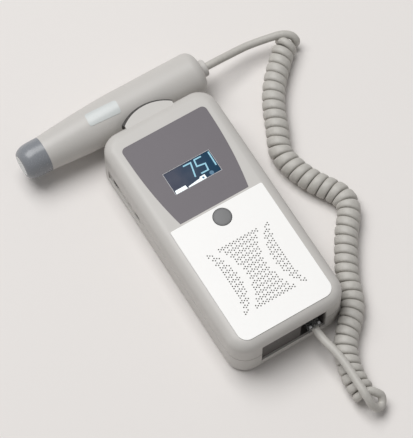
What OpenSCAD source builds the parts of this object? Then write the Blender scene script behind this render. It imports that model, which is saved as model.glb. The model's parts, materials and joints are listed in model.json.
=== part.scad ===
// Hand-held heartbeat monitor with a docked probe on a curly cord.
// Origin: centre of the flat rear face. +X right, +Y towards the probe end,
// +Z out of the front face. Millimetres.

/* [Monitor body] */
// Width of the body across its sides
body_w = 73; // [71:0.5:80]
// Length of the body from end to end
body_l = 154; // [150:1:170]
// Thickness of the body from the rear face to the front face
body_t = 34; // [33.5:0.5:38]
// Radius of the body's corners seen from the front
corner_r = 12; // [10:0.5:14]
// Radius of the rounded shoulder around the front face
shoulder_r = 6.5; // [5:0.5:6.5]
// Radius of the rounded edge around the rear face
base_r = 3; // [2.8:0.1:4]
// Thickness of the shell walls
wall = 2.4; // [2:0.1:2.6]
// Height of the seam between the two shells above the rear face
seam_z = 17; // [16.5:0.25:17.5]
// Width and depth of the groove that marks the seam
seam_groove = 0.3; // [0.2:0.1:0.6]

/* [Speaker plate] */
// Width of the white plate
plate_w = 60; // [58:0.5:61]
// Length of the white plate
plate_l = 77.7; // [74:0.1:80]
// Distance from the lower end of the body to the plate
plate_gap = 5.3; // [5:0.1:7]
// Thickness of the plate
plate_t = 1.5; // [1.2:0.1:2]
// How far the plate stands above the front face
plate_proud = 0.3; // [0.2:0.05:0.5]
// Radius of the plate's two lower corners
plate_corner = 6; // [3:0.5:8]
// Radius of the plate's two upper corners
plate_top_corner = 1; // [0.5:0.1:3]
// Diameter of one grille hole
hole_d = 0.9; // [0.7:0.05:1.0]
// Distance between grille holes along a row
hole_pitch = 2.45; // [2.3:0.05:2.6]
// Distance between the three rows of one band of holes
row_pitch = 0.78; // [0.74:0.02:0.9]
// Distance between bands of holes
band_pitch = 3.27; // [3:0.01:3.3]
// Bands of holes above and below the middle band
half_bands = 6; // [3:1:6]
// Distance from the plate's upper edge to the middle band
grille_drop = 43.3; // [42:0.1:46]
// Half width of the middle group of holes at its waist
waist_half = 6.6; // [5:0.1:7]
// Half width of the middle group of holes at its ends
flare_half = 13.3; // [11:0.1:14.5]
// Bare strip between the middle group and a side group
strip_space = 3.9; // [3.5:0.1:5]
// Outer edge of a side group of holes at its middle
strip_mid = 17.6; // [16:0.1:18.5]
// Outer edge of a side group of holes at its ends
strip_end = 20.4; // [19:0.1:21]
// Thickness of the dark cloth behind the holes
cloth_t = 0.3; // [0.2:0.05:0.4]

/* [Display] */
// Width of the grey panel at its upper edge
panel_top_w = 55.4; // [53:0.2:58]
// Width of the grey panel at its lower edge
panel_low_w = 44.6; // [42:0.2:48]
// Distance from the upper end of the body to the panel
panel_gap = 12.5; // [11.5:0.1:14]
// Strip of shell between the panel and the white plate
panel_space = 1.4; // [1:0.1:3]
// Thickness of the grey panel
panel_t = 0.5; // [0.4:0.1:0.8]
// Radius of the panel's corners
panel_corner = 3; // [2:0.5:4]
// How sharply the panel's sides curve in towards the lower edge
panel_curve = 2.3; // [1.8:0.1:2.6]
// Width of the display window
window_w = 30.6; // [28:0.2:32]
// Height of the display window
window_h = 15; // [13:0.2:16]
// Distance from the panel's upper edge to the window's middle
window_drop = 32.9; // [31:0.1:34]
// Depth of the window's surface below the panel
window_sink = 0.15; // [0.1:0.05:0.3]

/* [Button] */
// Diameter of the round button
button_d = 10.6; // [10:0.1:11.4]
// Radial gap round the button
button_gap = 0.3; // [0.25:0.05:0.5]
// Distance from the plate's upper edge to the button's centre
button_inset = 6.9; // [6.8:0.1:8]
// How far the button stands above the plate
button_proud = 0.5; // [0.3:0.1:1]
// How far the button goes down when it is pressed
button_travel = 0.8; // [0.4:0.1:1]

/* [Inside] */
// Thickness of every circuit board
board_t = 1.6; // [1.2:0.1:1.8]
// Height of the main board's underside above the rear face
board_z = 21.4; // [21:0.1:21.8]
// Outer diameter of the loudspeaker
speaker_d = 45; // [40:0.5:45]
// Depth of the loudspeaker behind its rim
speaker_depth = 11.6; // [10:0.1:11.8]
// Diameter of one battery cell
cell_d = 14.2; // [13.8:0.1:14.2]
// Length of one battery cell with its button
cell_l = 50.5; // [49:0.1:50.5]
// Thickness of the battery door
door_t = 2; // [1.8:0.1:2.2]
// Half width of the battery door at its outer face
door_half = 17; // [16.4:0.1:19]
// Distance from the lower end of the body to the battery bay
bay_gap = 23.5; // [23.2:0.1:26]
// Diameter of a shell screw's shank
screw_d = 2.6; // [2.2:0.1:3]
// Diameter of a shell screw's head
screw_head_d = 4.8; // [4:0.1:5]

/* [Side controls] */
// Length of the strip of controls on the left side
strip_l = 36.3; // [36:0.1:38]
// Height of the strip of controls
strip_h = 8.6; // [8:0.1:8.8]
// Distance from the body's upper end to the strip
strip_gap = 12.4; // [12:0.1:14]
// Height of the controls' axis above the rear face
control_z = 11.8; // [11.6:0.1:12]
// How deep the strip lies below the body's side
strip_sink = 1.0; // [0.8:0.1:1.2]
// Diameter of the volume wheel
wheel_d = 14; // [13:0.1:14.5]
// Thickness of the volume wheel
wheel_t = 2.4; // [2:0.1:2.6]
// Radius of the pin on which the wheel turns
wheel_pin_r = 1.5; // [1.2:0.1:1.8]
// Running clearance of the wheel on its pin
running_gap = 0.05; // [0.03:0.01:0.08]
// Radius of the audio socket's bore
audio_r = 1.8; // [1.75:0.01:1.85]
// Depth of the audio socket's bore
audio_depth = 14; // [12:0.5:15]
// How far the slide switch moves
switch_travel = 2; // [1.5:0.1:2.2]

/* [Lower end] */
// Width of the recess in the lower end
recess_w = 41.6; // [39:0.2:42]
// Sideways offset of the recess's middle
recess_x = 0.2; // [0:0.1:1]
// Height of the recess's lower edge above the rear face
recess_z = 8.2; // [8:0.1:9]
// Height of the recess
recess_h = 19.1; // [17.5:0.1:19.3]
// How deep the blank panel lies in the recess
recess_sink = 1.2; // [0.8:0.1:1.6]
// Width of the cord's modular plug
plug_w = 7.6; // [7.4:0.05:7.8]
// Height of the cord's modular plug
plug_h = 6.6; // [6.4:0.05:6.8]
// Length of the cord's modular plug
plug_l = 12.5; // [12:0.1:13]
// Clearance round the plug in its socket
plug_gap = 0.15; // [0.1:0.01:0.2]
// Sideways place of the plug
plug_x = 13.2; // [13:0.1:13.5]
// Height of the plug's middle above the rear face
plug_z = 15.6; // [15.4:0.1:15.8]

/* [Probe] */
// Diameter of the probe's handle
probe_d = 27; // [26:0.2:28]
// Length of the straight part of the handle
grip_l = 49; // [46:1:54]
// Length of the tapering part of the handle
taper_l = 49; // [44:1:52]
// Diameter of the handle where it meets the tip
neck_d = 21; // [20:0.2:22]
// Length of the blue-grey tip
tip_l = 15; // [12:0.5:16]
// Length of the tip's rounded part
tip_round = 8.7; // [6:0.1:10]
// Diameter of the flat face at the tip's end
face_d = 12.5; // [11:0.5:13]
// Radius of the handle's rounded rear end
rear_r = 6; // [5:0.5:8]
// Thickness of the probe's walls
probe_wall = 2; // [1.6:0.1:2.4]
// Distance from the middle of the body to the probe's rear end
probe_rear = 41.5; // [40:0.5:46]
// Gap between the body's end and the probe
probe_space = 2.1; // [1.8:0.1:2.6]
// Gap between the probe and the saddle that holds it
saddle_gap = 0.3; // [0.25:0.05:0.5]
// Length of the probe's label
label_l = 20; // [16:0.5:22]
// Width of the probe's label
label_w = 8.4; // [6:0.1:9]

/* [Saddle] */
// Half width of the saddle's arch at the body's end
arch_half = 15.6; // [15:0.1:17]
// Sideways place of the saddle's middle
arch_x = -1.9; // [-3:0.1:0]
// How far the arch reaches past the body's end
arch_reach = 5.6; // [5:0.1:6]
// Depth of the arch's top below the front face
arch_drop = 1.6; // [1.4:0.1:2]
// How far the lower lip reaches past the body's end
lip_reach = 14; // [12:0.5:15]

/* [Cord] */
// Diameter of the cord
cord_d = 4.8; // [4.4:0.1:5]
// Outer diameter of the curly part
coil_d = 14; // [13.5:0.1:14]
// Diameter of the collar where the cord leaves the probe
collar_d = 10.6; // [10:0.2:13]
// Length of that collar
collar_l = 4; // [1.5:0.1:4.5]

/* [Hidden] */

$fn = 64;
hull_fn = 32;
eps = 0.01;
cut = 1;
// clearance between two parts that are fitted together by hand
fit = 0.1;
low_y = -body_l / 2;
high_y = body_l / 2;
side_x = body_w / 2;
roof_z = body_t - wall;

// white plate and its grille
plate_low = low_y + plate_gap;
plate_high = plate_low + plate_l;
plate_base = body_t + plate_proud - plate_t;
grille_y = plate_high - grille_drop;
grille_reach = half_bands * band_pitch + row_pitch;
speaker_mouth = speaker_d / 2 - 2.5;
cloth_margin = 2;

// grey panel and window
panel_high = high_y - panel_gap;
panel_low = plate_high + panel_space;
window_y = panel_high - window_drop;
window_clear = 0.2;
lcd_top = roof_z - fit;
glass_t = 2.6;
glass_rim = 1.6;
light_t = 3;
frame_rim = 1.4;
board_top = board_z + board_t;

// button
button_y = plate_high - button_inset;
button_top = body_t + plate_proud + button_proud;
flange_w = 1;
flange_t = 1;
plunger_r = 1.7;
switch_h = 3.5;
switch_size = 6;
plunger_top = board_top + switch_h + button_travel + 1.4;

// shell screws
screw_x = [-22, 22];
top_screw_y = high_y - 6.5;
low_screw_x = [-27.5, 28.2];
low_screw_y = low_y + 11;
screw_places = concat([for (x = screw_x) [x, top_screw_y]],
                      [for (x = low_screw_x) [x, low_screw_y]]);
post_r = 3.4;
head_z = 8;
head_t = 1.8;
screw_reach = 9;

// main board
board_half = 30;
board_low = button_y - 9;
board_high = panel_high - 4.5;
board_places = [for (x = [-26, 26], y = [board_low + 4, board_high - 4]) [x, y]];
board_post_r = 2.5;
board_screw_r = 1.2;
board_screw_head_r = 2.2;
board_screw_head_t = 1.4;
board_screw_grip = 4;
// components beside the button, above the board's lower edge
parts_x = button_d / 2 + button_gap + flange_w + 1;
parts_y = board_low + 1;
big_chip = 12;
big_chip_t = 1.4;
small_chip = 8;
small_chip_t = 1.6;
capacitor_d = 6.3;
capacitor_h = 5.6;
capacitor_gap = 0.6;
link_half = 12;
link_t = 3;
link_w = 5;

// loudspeaker
rim_t = 1.2;
rim_z = roof_z - rim_t;
speaker_low = rim_z - speaker_depth;
magnet_r = 10;
magnet_t = 3.4;

// battery bay, between the loudspeaker and the rear face
bay_wall = 1.5;
bay_roof = 1.4;
cell_space = 1;
contact_t = 0.4;
bay_half = cell_d + cell_space / 2 + 0.8;
bay_low = low_y + bay_gap;
bay_high = bay_low + cell_l + 3.2;
bay_mid = (bay_low + bay_high) / 2;
door_gap = 0.2;
door_flare = 1.2;
door_high = bay_high + 3;
bay_floor = door_t + door_gap;
contact_half = 4.5;
contact_half_h = 5;
inner_floor = bay_floor + 1.8;
rail_half = door_half + door_flare + door_gap + 1.4;
cell_z = bay_floor + fit + cell_d / 2;
bay_top = cell_z + cell_d / 2 + fit;
cell_x = (cell_d + cell_space) / 2;

// left side controls
strip_high = high_y - strip_gap;
strip_low = strip_high - strip_l;
panel_face = -side_x + strip_sink;
panel_back = -side_x + wall;
strip_flange = 1;
strip_lip = 0.8;
side_board_z = control_z - 4 - board_t;
side_board_top = side_board_z + board_t;
side_board_x = panel_back + strip_flange + 0.3;
side_board_w = 17.5;
wheel_x = -side_x + 0.25 + wheel_d / 2;
wheel_y = strip_high - 7.3;
wheel_slot = 2 * sqrt(pow(wheel_d / 2, 2) - pow(wheel_x - panel_back - strip_flange, 2)) + 0.8;
wheel_low = control_z - wheel_t / 2;
pot_size = 9;
pin_head_r = 2.4;
pin_head_t = 0.8;
knob_y = strip_low + 16.6;
knob_l = 4.2;
knob_h = 1.8;
knob_gap = 0.25;
knob_out = 0.6;
slot_low = knob_y - knob_l / 2 - knob_gap - switch_travel;
slot_high = knob_y + knob_l / 2 + knob_gap;
slot_well = 2.4;
switch_wall = 0.5;
audio_y = strip_low + 5.6;
audio_nose_r = 3;
audio_w = 7;

// lower end
recess_low_x = recess_x - recess_w / 2;
recess_high_x = recess_x + recess_w / 2;
recess_high_z = recess_z + recess_h;
blank_face = low_y + recess_sink;
blank_back = low_y + wall;
end_flange = 1.2;
end_lip = 1;
bay_rim = 0.8;
blank_wall = 1.4;
bay_back = low_y + 5.2;
jack_bay_x = 5.4;
bay_back_t = 1.2;
jack_wall = 1.8;
jack_l = 13.6;
plug_back = low_y - 1.4;
plug_front = plug_back + plug_l;
latch_w = 3.2;
latch_t = 0.9;
latch_angle = 9;
latch_pin_r = 0.7;
latch_y = plug_front - 2;
latch_z = plug_z + plug_h / 2 - latch_pin_r;
latch_l = plug_l - 1.2;
keyway_h = 3.2;
contact_n = 4;
contact_pitch = 1.27;
contact_w = 0.5;
socket_board_z = 9.2;
socket_board_w = 17;
socket_board_l = 15;
peg_r = 1;
peg_gap = 0.1;

// probe
probe_r = probe_d / 2;
probe_y = high_y + probe_space + probe_r;
probe_z = seam_z;
grip_start = probe_rear - rear_r - grip_l;
neck_x = grip_start - taper_l;
face_x = neck_x - tip_l;
face_t = 2;
crystal_t = 1.2;
spigot_l = 3;
taper_steps = 9;
taper_power = 1.5;
label_t = 0.2;
label_lean = -4;
label_shift = -0.8;
saddle_r = probe_r + saddle_gap;
arch_z = body_t - arch_drop;
collar_end = probe_rear + collar_l;

// route of the cord from the probe to the curly part: x, y, z
probe_lead_route = [
    [46, 92.6, 17], [50, 92.6, 17], [56, 93, 16], [62, 93.5, 14.6],
    [68, 93.9, 13.4], [74, 94, 12.6], [80, 93.4, 12.3], [86, 92.4, 12.3],
    [91, 91.4, 12.4], [95, 90.4, 12.5], [98.4, 89, 12.3], [101.4, 86.9, 11.2],
    [103, 84.7, 8.8], [102.9, 83.9, 6], [101.3, 84.6, 3.4], [98.8, 86.2, 2.5],
    [96.4, 88, 3.6], [95, 89.2, 5.8]
];
// middle line of the curly part: x, y
coil_route = [
    [95.4, 83.9], [91.9, 81.2], [88.6, 78.1], [83.6, 73.2], [79, 68.4], [74.8, 63.3],
    [71.2, 57.8], [68, 52], [65.3, 46], [62.6, 40], [59.8, 34.4], [57.4, 29],
    [56.6, 23.6], [57.3, 17.6], [59, 11], [61.4, 4.6], [64.6, -1.6], [68.2, -7.6],
    [71.2, -13.4], [72.2, -19.8], [69.6, -26.2], [65.4, -31.4], [61, -36.8], [56.8, -43.2],
    [52.8, -49.6], [49, -56.2], [45.8, -63], [42.9, -71], [38.8, -77.9], [32.6, -84.3],
    [26.5, -90.5], [22.2, -97.5], [19.4, -104.7], [17.8, -112.2], [17.5, -118.3], [17.7, -123.9]
];
// route of the cord from the plug to the curly part: x, y, z
plug_lead_route = [
    [13.2, -78.5, 15.5], [13.2, -82, 15.5], [13.8, -88, 15.8], [14.8, -94, 16.6],
    [15.5, -100, 17], [15.9, -106, 17.1], [15.9, -112, 17.1], [15.7, -118, 17.1],
    [15.7, -124, 17], [15.9, -128.2, 15.2], [16.7, -131.7, 11.8], [18.6, -133.6, 8.4],
    [21.6, -133.6, 6.4], [24, -131.6, 6.4], [24.8, -128.9, 8.4], [23.2, -127, 10.4]
];
cord_sides = 10;
coil_sides = 16;
coil_z = coil_d / 2 + 0.1;

// ---------------------------------------------------------------- helpers

// points on an arc, with its end points
function arc(cx, cy, r, from, to, steps = 8) =
    [for (i = [0 : steps]) let (a = from + (to - from) * i / steps) [cx + r * cos(a), cy + r * sin(a)]];

// rectangle with one radius at its lower corners and another at its upper ones
function plate_outline(half, y0, y1, r_low, r_high) = concat(
    arc(half - r_low, y0 + r_low, r_low, -90, 0),
    arc(half - r_high, y1 - r_high, r_high, 0, 90),
    arc(r_high - half, y1 - r_high, r_high, 90, 180),
    arc(r_low - half, y0 + r_low, r_low, 180, 270));

// the body's outline seen from the front, moved inwards by inset
function body_outline(inset) =
    plate_outline(side_x - inset, low_y + inset, high_y - inset, corner_r - inset, corner_r - inset);

// half width of the grey panel at a height above its lower edge, as a share from 0 to 1
function panel_half(share) =
    panel_top_w / 2 - (panel_top_w - panel_low_w) / 2 * pow(1 - share, panel_curve);

// the grey panel's outline, made larger all round by grow
function panel_outline(grow) = let (
    steps = 12,
    run = panel_high - panel_low,
    stop = 1 - panel_corner / run,
    side = [for (i = [0 : steps]) let (s = stop * i / steps)
        [panel_half(s) + grow, panel_low - grow * (i == 0 ? 1 : 0) + run * s]],
    bend = arc(panel_top_w / 2 - panel_corner, panel_high - panel_corner, panel_corner + grow, 10, 90),
    right = concat(side, bend))
    concat(right, [for (i = [len(right) - 1 : -1 : 0]) [-right[i][0], right[i][1]]]);

// section of a body corner from the axis outwards, for a body moved inwards by inset
function corner_section(inset) = let (
    r = corner_r - inset,
    low = max(base_r - inset, 0.4),
    high = max(shoulder_r - inset, 0.4),
    z0 = inset,
    z1 = body_t - inset)
    concat([[0, z0]],
           arc(r - low, z0 + low, low, -90, 0, 4),
           arc(r - high, z1 - high, high, 0, 90, 7),
           [[0, z1]]);

// the whole rounded body, moved inwards by inset
module body_form(inset) {
    hull()
        for (x = [corner_r - side_x, side_x - corner_r], y = [low_y + corner_r, high_y - corner_r])
            translate([x, y, 0])
                rotate_extrude($fn = hull_fn)
                    polygon(corner_section(inset));
}

// everything above or below a height
module above(z) {
    translate([-body_w, -body_l, z])
        cube([2 * body_w, 2 * body_l, body_t]);
}

module below(z) {
    translate([-body_w, -body_l, z - body_t])
        cube([2 * body_w, 2 * body_l, body_t]);
}

// box from its low corner to its high corner
module box(low, high) {
    translate(low)
        cube(high - low);
}

// groove of the seam's width and depth round the body, from z0 upwards
module seam_ring(z0) {
    translate([0, 0, z0])
        linear_extrude(seam_groove)
            difference() {
                polygon(body_outline(-cut));
                polygon(body_outline(seam_groove));
            }
}

// plan of the arch that covers the probe's saddle, reaching past the body's end
module arch_plan() {
    arch_r = (pow(arch_half, 2) + pow(arch_reach, 2)) / (2 * arch_reach);
    centre_y = high_y + arch_reach - arch_r;
    lean = asin((high_y - centre_y) / arch_r);
    translate([arch_x, 0])
        polygon(concat([[arch_half, high_y - shoulder_r]],
                       arc(0, centre_y, arch_r, lean, 180 - lean, 20),
                       [[-arch_half, high_y - shoulder_r]]));
}

// the round channel in which the probe lies
module probe_channel() {
    translate([0, probe_y, probe_z])
        rotate([0, 90, 0])
            cylinder(h = 2 * body_w, r = saddle_r, center = true);
}

// opening for the panel and the socket in the lower end
module end_recess() {
    box([recess_low_x, low_y - cut, recess_z], [recess_high_x, low_y + wall + cut, recess_high_z]);
}

// ---------------------------------------------------------------- shells

module front_shell() {
    color([0.80, 0.79, 0.76])
    difference() {
        union() {
            intersection() {
                difference() {
                    body_form(0);
                    body_form(wall);
                }
                above(seam_z);
            }
            translate([0, 0, probe_z])
                linear_extrude(arch_z - probe_z)
                    intersection() {
                        arch_plan();
                        translate([-body_w, high_y - wall])
                            square([2 * body_w, 2 * arch_reach + wall]);
                    }
            for (p = screw_places)
                translate([p[0], p[1], seam_z])
                    cylinder(h = roof_z - seam_z + 0.6, r = post_r);
            for (p = board_places)
                translate([p[0], p[1], board_top])
                    cylinder(h = roof_z - board_top + 0.6, r = board_post_r);
        }
        // seats of the white plate, of the grey panel and of the cloth
        translate([0, 0, plate_base])
            linear_extrude(plate_t + cut)
                polygon(plate_outline(plate_w / 2 + fit, plate_low - fit, plate_high + fit,
                                      plate_corner + fit, plate_top_corner + fit));
        translate([0, 0, body_t - panel_t])
            linear_extrude(panel_t + cut)
                polygon(panel_outline(fit / 2));
        translate([0, 0, plate_base - cloth_t])
            linear_extrude(plate_t + cut)
                polygon(cloth_outline(fit));
        // window, button and loudspeaker openings
        box([-window_w / 2, window_y - window_h / 2, roof_z - cut],
            [window_w / 2, window_y + window_h / 2, body_t + cut]);
        translate([0, button_y, roof_z - cut])
            cylinder(h = wall + 2 * cut, r = button_d / 2 + button_gap);
        translate([0, grille_y, roof_z - cut])
            cylinder(h = wall + 2 * cut, r = speaker_mouth);
        // blind holes for the screws
        for (p = screw_places)
            translate([p[0], p[1], seam_z - cut])
                cylinder(h = screw_reach + cut + 1, r = screw_d / 2 + running_gap);
        for (p = board_places)
            translate([p[0], p[1], board_top - cut])
                cylinder(h = board_screw_grip + 1 + cut, r = board_screw_r + running_gap);
        end_recess();
        probe_channel();
        seam_ring(seam_z);
    }
}

// door's outline across the body, from the outer face inwards
module door_section(grow) {
    outer = door_half + grow;
    inner = outer + door_flare;
    polygon([[-outer, -eps - grow], [outer, -eps - grow], [inner, door_t + grow], [-inner, door_t + grow]]);
}

module rear_shell() {
    color([0.78, 0.77, 0.74])
    difference() {
        union() {
            intersection() {
                difference() {
                    body_form(0);
                    body_form(wall);
                }
                below(seam_z);
            }
            // lower lip of the probe's saddle
            translate([arch_x, 0, 0])
                linear_extrude(probe_z)
                    polygon(plate_outline(arch_half, high_y - wall, high_y + lip_reach, 0.5, corner_r / 2));
            // walls of the battery bay and the floor over the door
            box([-bay_half - bay_wall, bay_low - bay_wall, wall - eps],
                [bay_half + bay_wall, bay_high + bay_wall, bay_top + bay_roof]);
            box([-rail_half, low_y + wall - eps, wall - eps],
                [rail_half, door_high + bay_wall, inner_floor]);
            for (p = screw_places)
                translate([p[0], p[1], 0.5])
                    cylinder(h = seam_z - 0.5, r = post_r);
            // posts of the two small boards
            for (p = side_board_places())
                translate([p[0], p[1], wall - eps])
                    cylinder(h = side_board_z - wall + eps, r = 2 * peg_r);
            for (p = side_board_places())
                translate([p[0], p[1], wall])
                    cylinder(h = side_board_top + 0.5 - wall, r = peg_r);
            for (p = socket_board_places())
                translate([p[0], p[1], inner_floor - eps])
                    cylinder(h = socket_board_z - inner_floor + eps, r = 2 * peg_r);
            for (p = socket_board_places())
                translate([p[0], p[1], inner_floor])
                    cylinder(h = socket_board_z + board_t + 0.5 - inner_floor, r = peg_r);
        }
        // battery bay, open to the door
        box([-bay_half, bay_low, -cut], [bay_half, bay_high, bay_top]);
        // slide way of the door, open at the lower end
        translate([0, door_high + door_gap, 0])
            rotate([90, 0, 0])
                linear_extrude(door_high + door_gap - low_y + cut)
                    door_section(door_gap);
        // screw holes with deep counterbores
        for (p = screw_places) {
            translate([p[0], p[1], -cut])
                cylinder(h = head_z + cut, r = screw_head_d / 2 + fit);
            translate([p[0], p[1], head_z - cut])
                cylinder(h = seam_z, r = screw_d / 2 + 3 * running_gap);
        }
        // opening and seat of the side controls
        box([-side_x - cut, strip_low, control_z - strip_h / 2],
            [panel_back + cut, strip_high, control_z + strip_h / 2]);
        end_recess();
        probe_channel();
        seam_ring(seam_z - seam_groove);
    }
}

module shell_screws() {
    color([0.62, 0.63, 0.65])
    for (p = screw_places)
        translate([p[0], p[1], head_z]) {
            difference() {
                translate([0, 0, -head_t])
                    cylinder(h = head_t, r = screw_head_d / 2);
                // cross slot
                for (a = [0, 90])
                    rotate([0, 0, a])
                        translate([-1.3, -0.35, -head_t - cut])
                            cube([2.6, 0.7, cut + 0.9]);
            }
            translate([0, 0, -eps])
                cylinder(h = seam_z - head_z + screw_reach + eps, r = screw_d / 2);
        }
}

// ---------------------------------------------------------------- display

module display_panel() {
    color([0.46, 0.44, 0.46])
    difference() {
        translate([0, 0, body_t - panel_t])
            linear_extrude(panel_t)
                polygon(panel_outline(0));
        box([-window_w / 2, window_y - window_h / 2, 0],
            [window_w / 2, window_y + window_h / 2, body_t + cut]);
    }
}

module display_window() {
    half = window_w / 2 - window_clear;
    half_h = window_h / 2 - window_clear;
    color([0.30, 0.36, 0.42, 0.5])
    box([-half, window_y - half_h, lcd_top], [half, window_y + half_h, body_t - window_sink]);
}

module lcd_glass() {
    half = window_w / 2 + glass_rim;
    half_h = window_h / 2 + glass_rim;
    color([0.16, 0.19, 0.24])
    box([-half, window_y - half_h, lcd_top - glass_t], [half, window_y + half_h, lcd_top]);
}

module lcd_backlight() {
    half = window_w / 2 + glass_rim - 0.5;
    half_h = window_h / 2 + glass_rim - 0.5;
    color([0.90, 0.92, 0.92])
    box([-half, window_y - half_h, lcd_top - glass_t - light_t],
        [half, window_y + half_h, lcd_top - glass_t]);
}

module lcd_frame() {
    half = window_w / 2 + glass_rim + fit;
    half_h = window_h / 2 + glass_rim + fit;
    color([0.20, 0.20, 0.21])
    difference() {
        box([-half - frame_rim, window_y - half_h - frame_rim, board_top],
            [half + frame_rim, window_y + half_h + frame_rim, lcd_top - 0.4]);
        box([-half, window_y - half_h, lcd_top - glass_t - light_t],
            [half, window_y + half_h, lcd_top + cut]);
        box([-half + frame_rim, window_y - half_h + frame_rim, board_top - cut],
            [half - frame_rim, window_y + half_h - frame_rim, lcd_top]);
    }
}

// ---------------------------------------------------------------- loudspeaker

// half width of a group of holes whose edge bows in towards the middle band
function bow(mid, end, y) = mid + (end - mid) * pow(y / grille_reach, 2);

module grille_holes() {
    reach = ceil(strip_end / hole_pitch) + 1;
    for (band = [-half_bands : half_bands], row = [-1 : 1], i = [-reach : reach]) {
        x = (i + (row == 0 ? 0.5 : 0)) * hole_pitch;
        y = band * band_pitch + row * row_pitch;
        inner = bow(waist_half, flare_half, y);
        outer = bow(strip_mid, strip_end, y);
        if (abs(x) <= inner || (abs(x) >= inner + strip_space && abs(x) <= outer))
            translate([x, grille_y + y])
                circle(d = hole_d, $fn = 10);
    }
}

// outline of the cloth that covers every hole from behind
function cloth_outline(grow) = let (
    half = strip_end + cloth_margin + grow,
    reach = grille_reach + cloth_margin + grow)
    plate_outline(half, grille_y - reach, grille_y + reach, 3 + grow, 3 + grow);

module speaker_cloth() {
    color([0.10, 0.10, 0.10])
    translate([0, 0, plate_base - cloth_t])
        linear_extrude(cloth_t)
            polygon(cloth_outline(0));
}

module speaker_plate() {
    color([0.95, 0.95, 0.94])
    translate([0, 0, plate_base])
        linear_extrude(plate_t)
            difference() {
                polygon(plate_outline(plate_w / 2, plate_low, plate_high, plate_corner, plate_top_corner));
                translate([0, button_y])
                    circle(r = button_d / 2 + button_gap);
                grille_holes();
            }
}

module speaker_basket() {
    throat = magnet_r + 1;
    floor_z = speaker_low + magnet_t;
    rim_r = speaker_d / 2;
    color([0.25, 0.25, 0.26])
    translate([0, grille_y, 0])
        rotate_extrude()
            polygon([[rim_r, rim_z], [rim_r, roof_z], [speaker_mouth - 0.5, roof_z],
                     [throat, floor_z + 1], [3, floor_z + 1], [3, floor_z], [throat + 1, floor_z]]);
}

module speaker_cone() {
    floor_z = speaker_low + magnet_t + 2.5;
    color([0.13, 0.13, 0.14])
    translate([0, grille_y, 0])
        rotate_extrude()
            polygon([[speaker_mouth - 1.4, roof_z - 0.7], [speaker_mouth - 1.4, roof_z - 0.1],
                     [8, floor_z + 1], [0, floor_z + 3], [0, floor_z + 2.4], [8, floor_z + 0.2]]);
}

module speaker_magnet() {
    color([0.50, 0.50, 0.52])
    translate([0, grille_y, speaker_low]) {
        cylinder(h = magnet_t, r = magnet_r);
        cylinder(h = magnet_t + 2.2, r = 3 - running_gap);
    }
}

// ---------------------------------------------------------------- button

module power_button() {
    lens_r = 40;
    flange_top = roof_z - 0.15;
    color([0.49, 0.49, 0.47])
    translate([0, button_y, 0]) {
        intersection() {
            translate([0, 0, flange_top - flange_t])
                cylinder(h = button_top - flange_top + flange_t, r = button_d / 2);
            translate([0, 0, button_top - lens_r])
                sphere(r = lens_r, $fn = 96);
        }
        translate([0, 0, flange_top - flange_t])
            cylinder(h = flange_t, r = button_d / 2 + button_gap + flange_w);
        translate([0, 0, plunger_top])
            cylinder(h = flange_top - plunger_top, r = 2.4);
    }
}

module button_switch() {
    half = switch_size / 2;
    color([0.16, 0.16, 0.17])
    translate([0, button_y, 0])
        difference() {
            box([-half, -half, board_top], [half, half, board_top + switch_h]);
            translate([0, 0, board_top + switch_h - 1.8])
                cylinder(h = 2 + cut, r = plunger_r + 2 * running_gap);
        }
}

module switch_plunger() {
    color([0.75, 0.20, 0.16])
    translate([0, button_y, plunger_top])
        mirror([0, 0, 1])
            cylinder(h = plunger_top - board_top - switch_h + 0.8, r = plunger_r);
}

// ---------------------------------------------------------------- boards

module main_board() {
    color([0.12, 0.38, 0.22])
    difference() {
        box([-board_half, board_low, board_z], [board_half, board_high, board_top]);
        for (p = board_places)
            translate([p[0], p[1], board_z - cut])
                cylinder(h = board_t + 2 * cut, r = board_screw_r + fit);
    }
}

module board_parts() {
    big_end = parts_x + big_chip;
    small_end = parts_x + small_chip;
    capacitor_r = capacitor_d / 2;
    color([0.10, 0.10, 0.11]) {
        box([-big_end, parts_y, board_top], [-parts_x, parts_y + big_chip, board_top + big_chip_t]);
        box([parts_x, parts_y, board_top], [small_end, parts_y + small_chip, board_top + small_chip_t]);
        translate([small_end + capacitor_gap + capacitor_r, parts_y + capacitor_r, board_top])
            cylinder(h = capacitor_h, r = capacitor_r);
        translate([-big_end - capacitor_gap - capacitor_r, parts_y + big_chip - capacitor_r, board_top])
            cylinder(h = capacitor_h, r = capacitor_r);
        box([-link_half, board_high - link_t - link_w, board_top],
            [link_half, board_high - link_t, board_top + link_t]);
    }
}

module board_screws() {
    color([0.70, 0.70, 0.72])
    for (p = board_places)
        translate([p[0], p[1], board_z]) {
            translate([0, 0, -board_screw_head_t])
                cylinder(h = board_screw_head_t, r = board_screw_head_r);
            translate([0, 0, -eps])
                cylinder(h = board_t + board_screw_grip, r = board_screw_r);
        }
}

function side_board_places() =
    [for (y = [strip_low + 11, strip_high - 14]) [side_board_x + side_board_w - 3, y]];

function socket_board_places() =
    [for (x = [-1, 1]) [plug_x + x * (socket_board_w / 2 - 1.8), bay_low - bay_wall - 4.5]];

module side_board() {
    color([0.12, 0.38, 0.22])
    difference() {
        box([side_board_x, strip_low + 0.5, side_board_z],
            [side_board_x + side_board_w, strip_high - 1, side_board_top]);
        for (p = side_board_places())
            translate([p[0], p[1], side_board_z - cut])
                cylinder(h = board_t + 2 * cut, r = peg_r + peg_gap);
    }
}

module socket_board() {
    back = bay_low - bay_wall - 0.5;
    color([0.12, 0.38, 0.22])
    difference() {
        box([plug_x - socket_board_w / 2, back - socket_board_l, socket_board_z],
            [plug_x + socket_board_w / 2, back, socket_board_z + board_t]);
        for (p = socket_board_places())
            translate([p[0], p[1], socket_board_z - cut])
                cylinder(h = board_t + 2 * cut, r = peg_r + peg_gap);
    }
}

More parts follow.
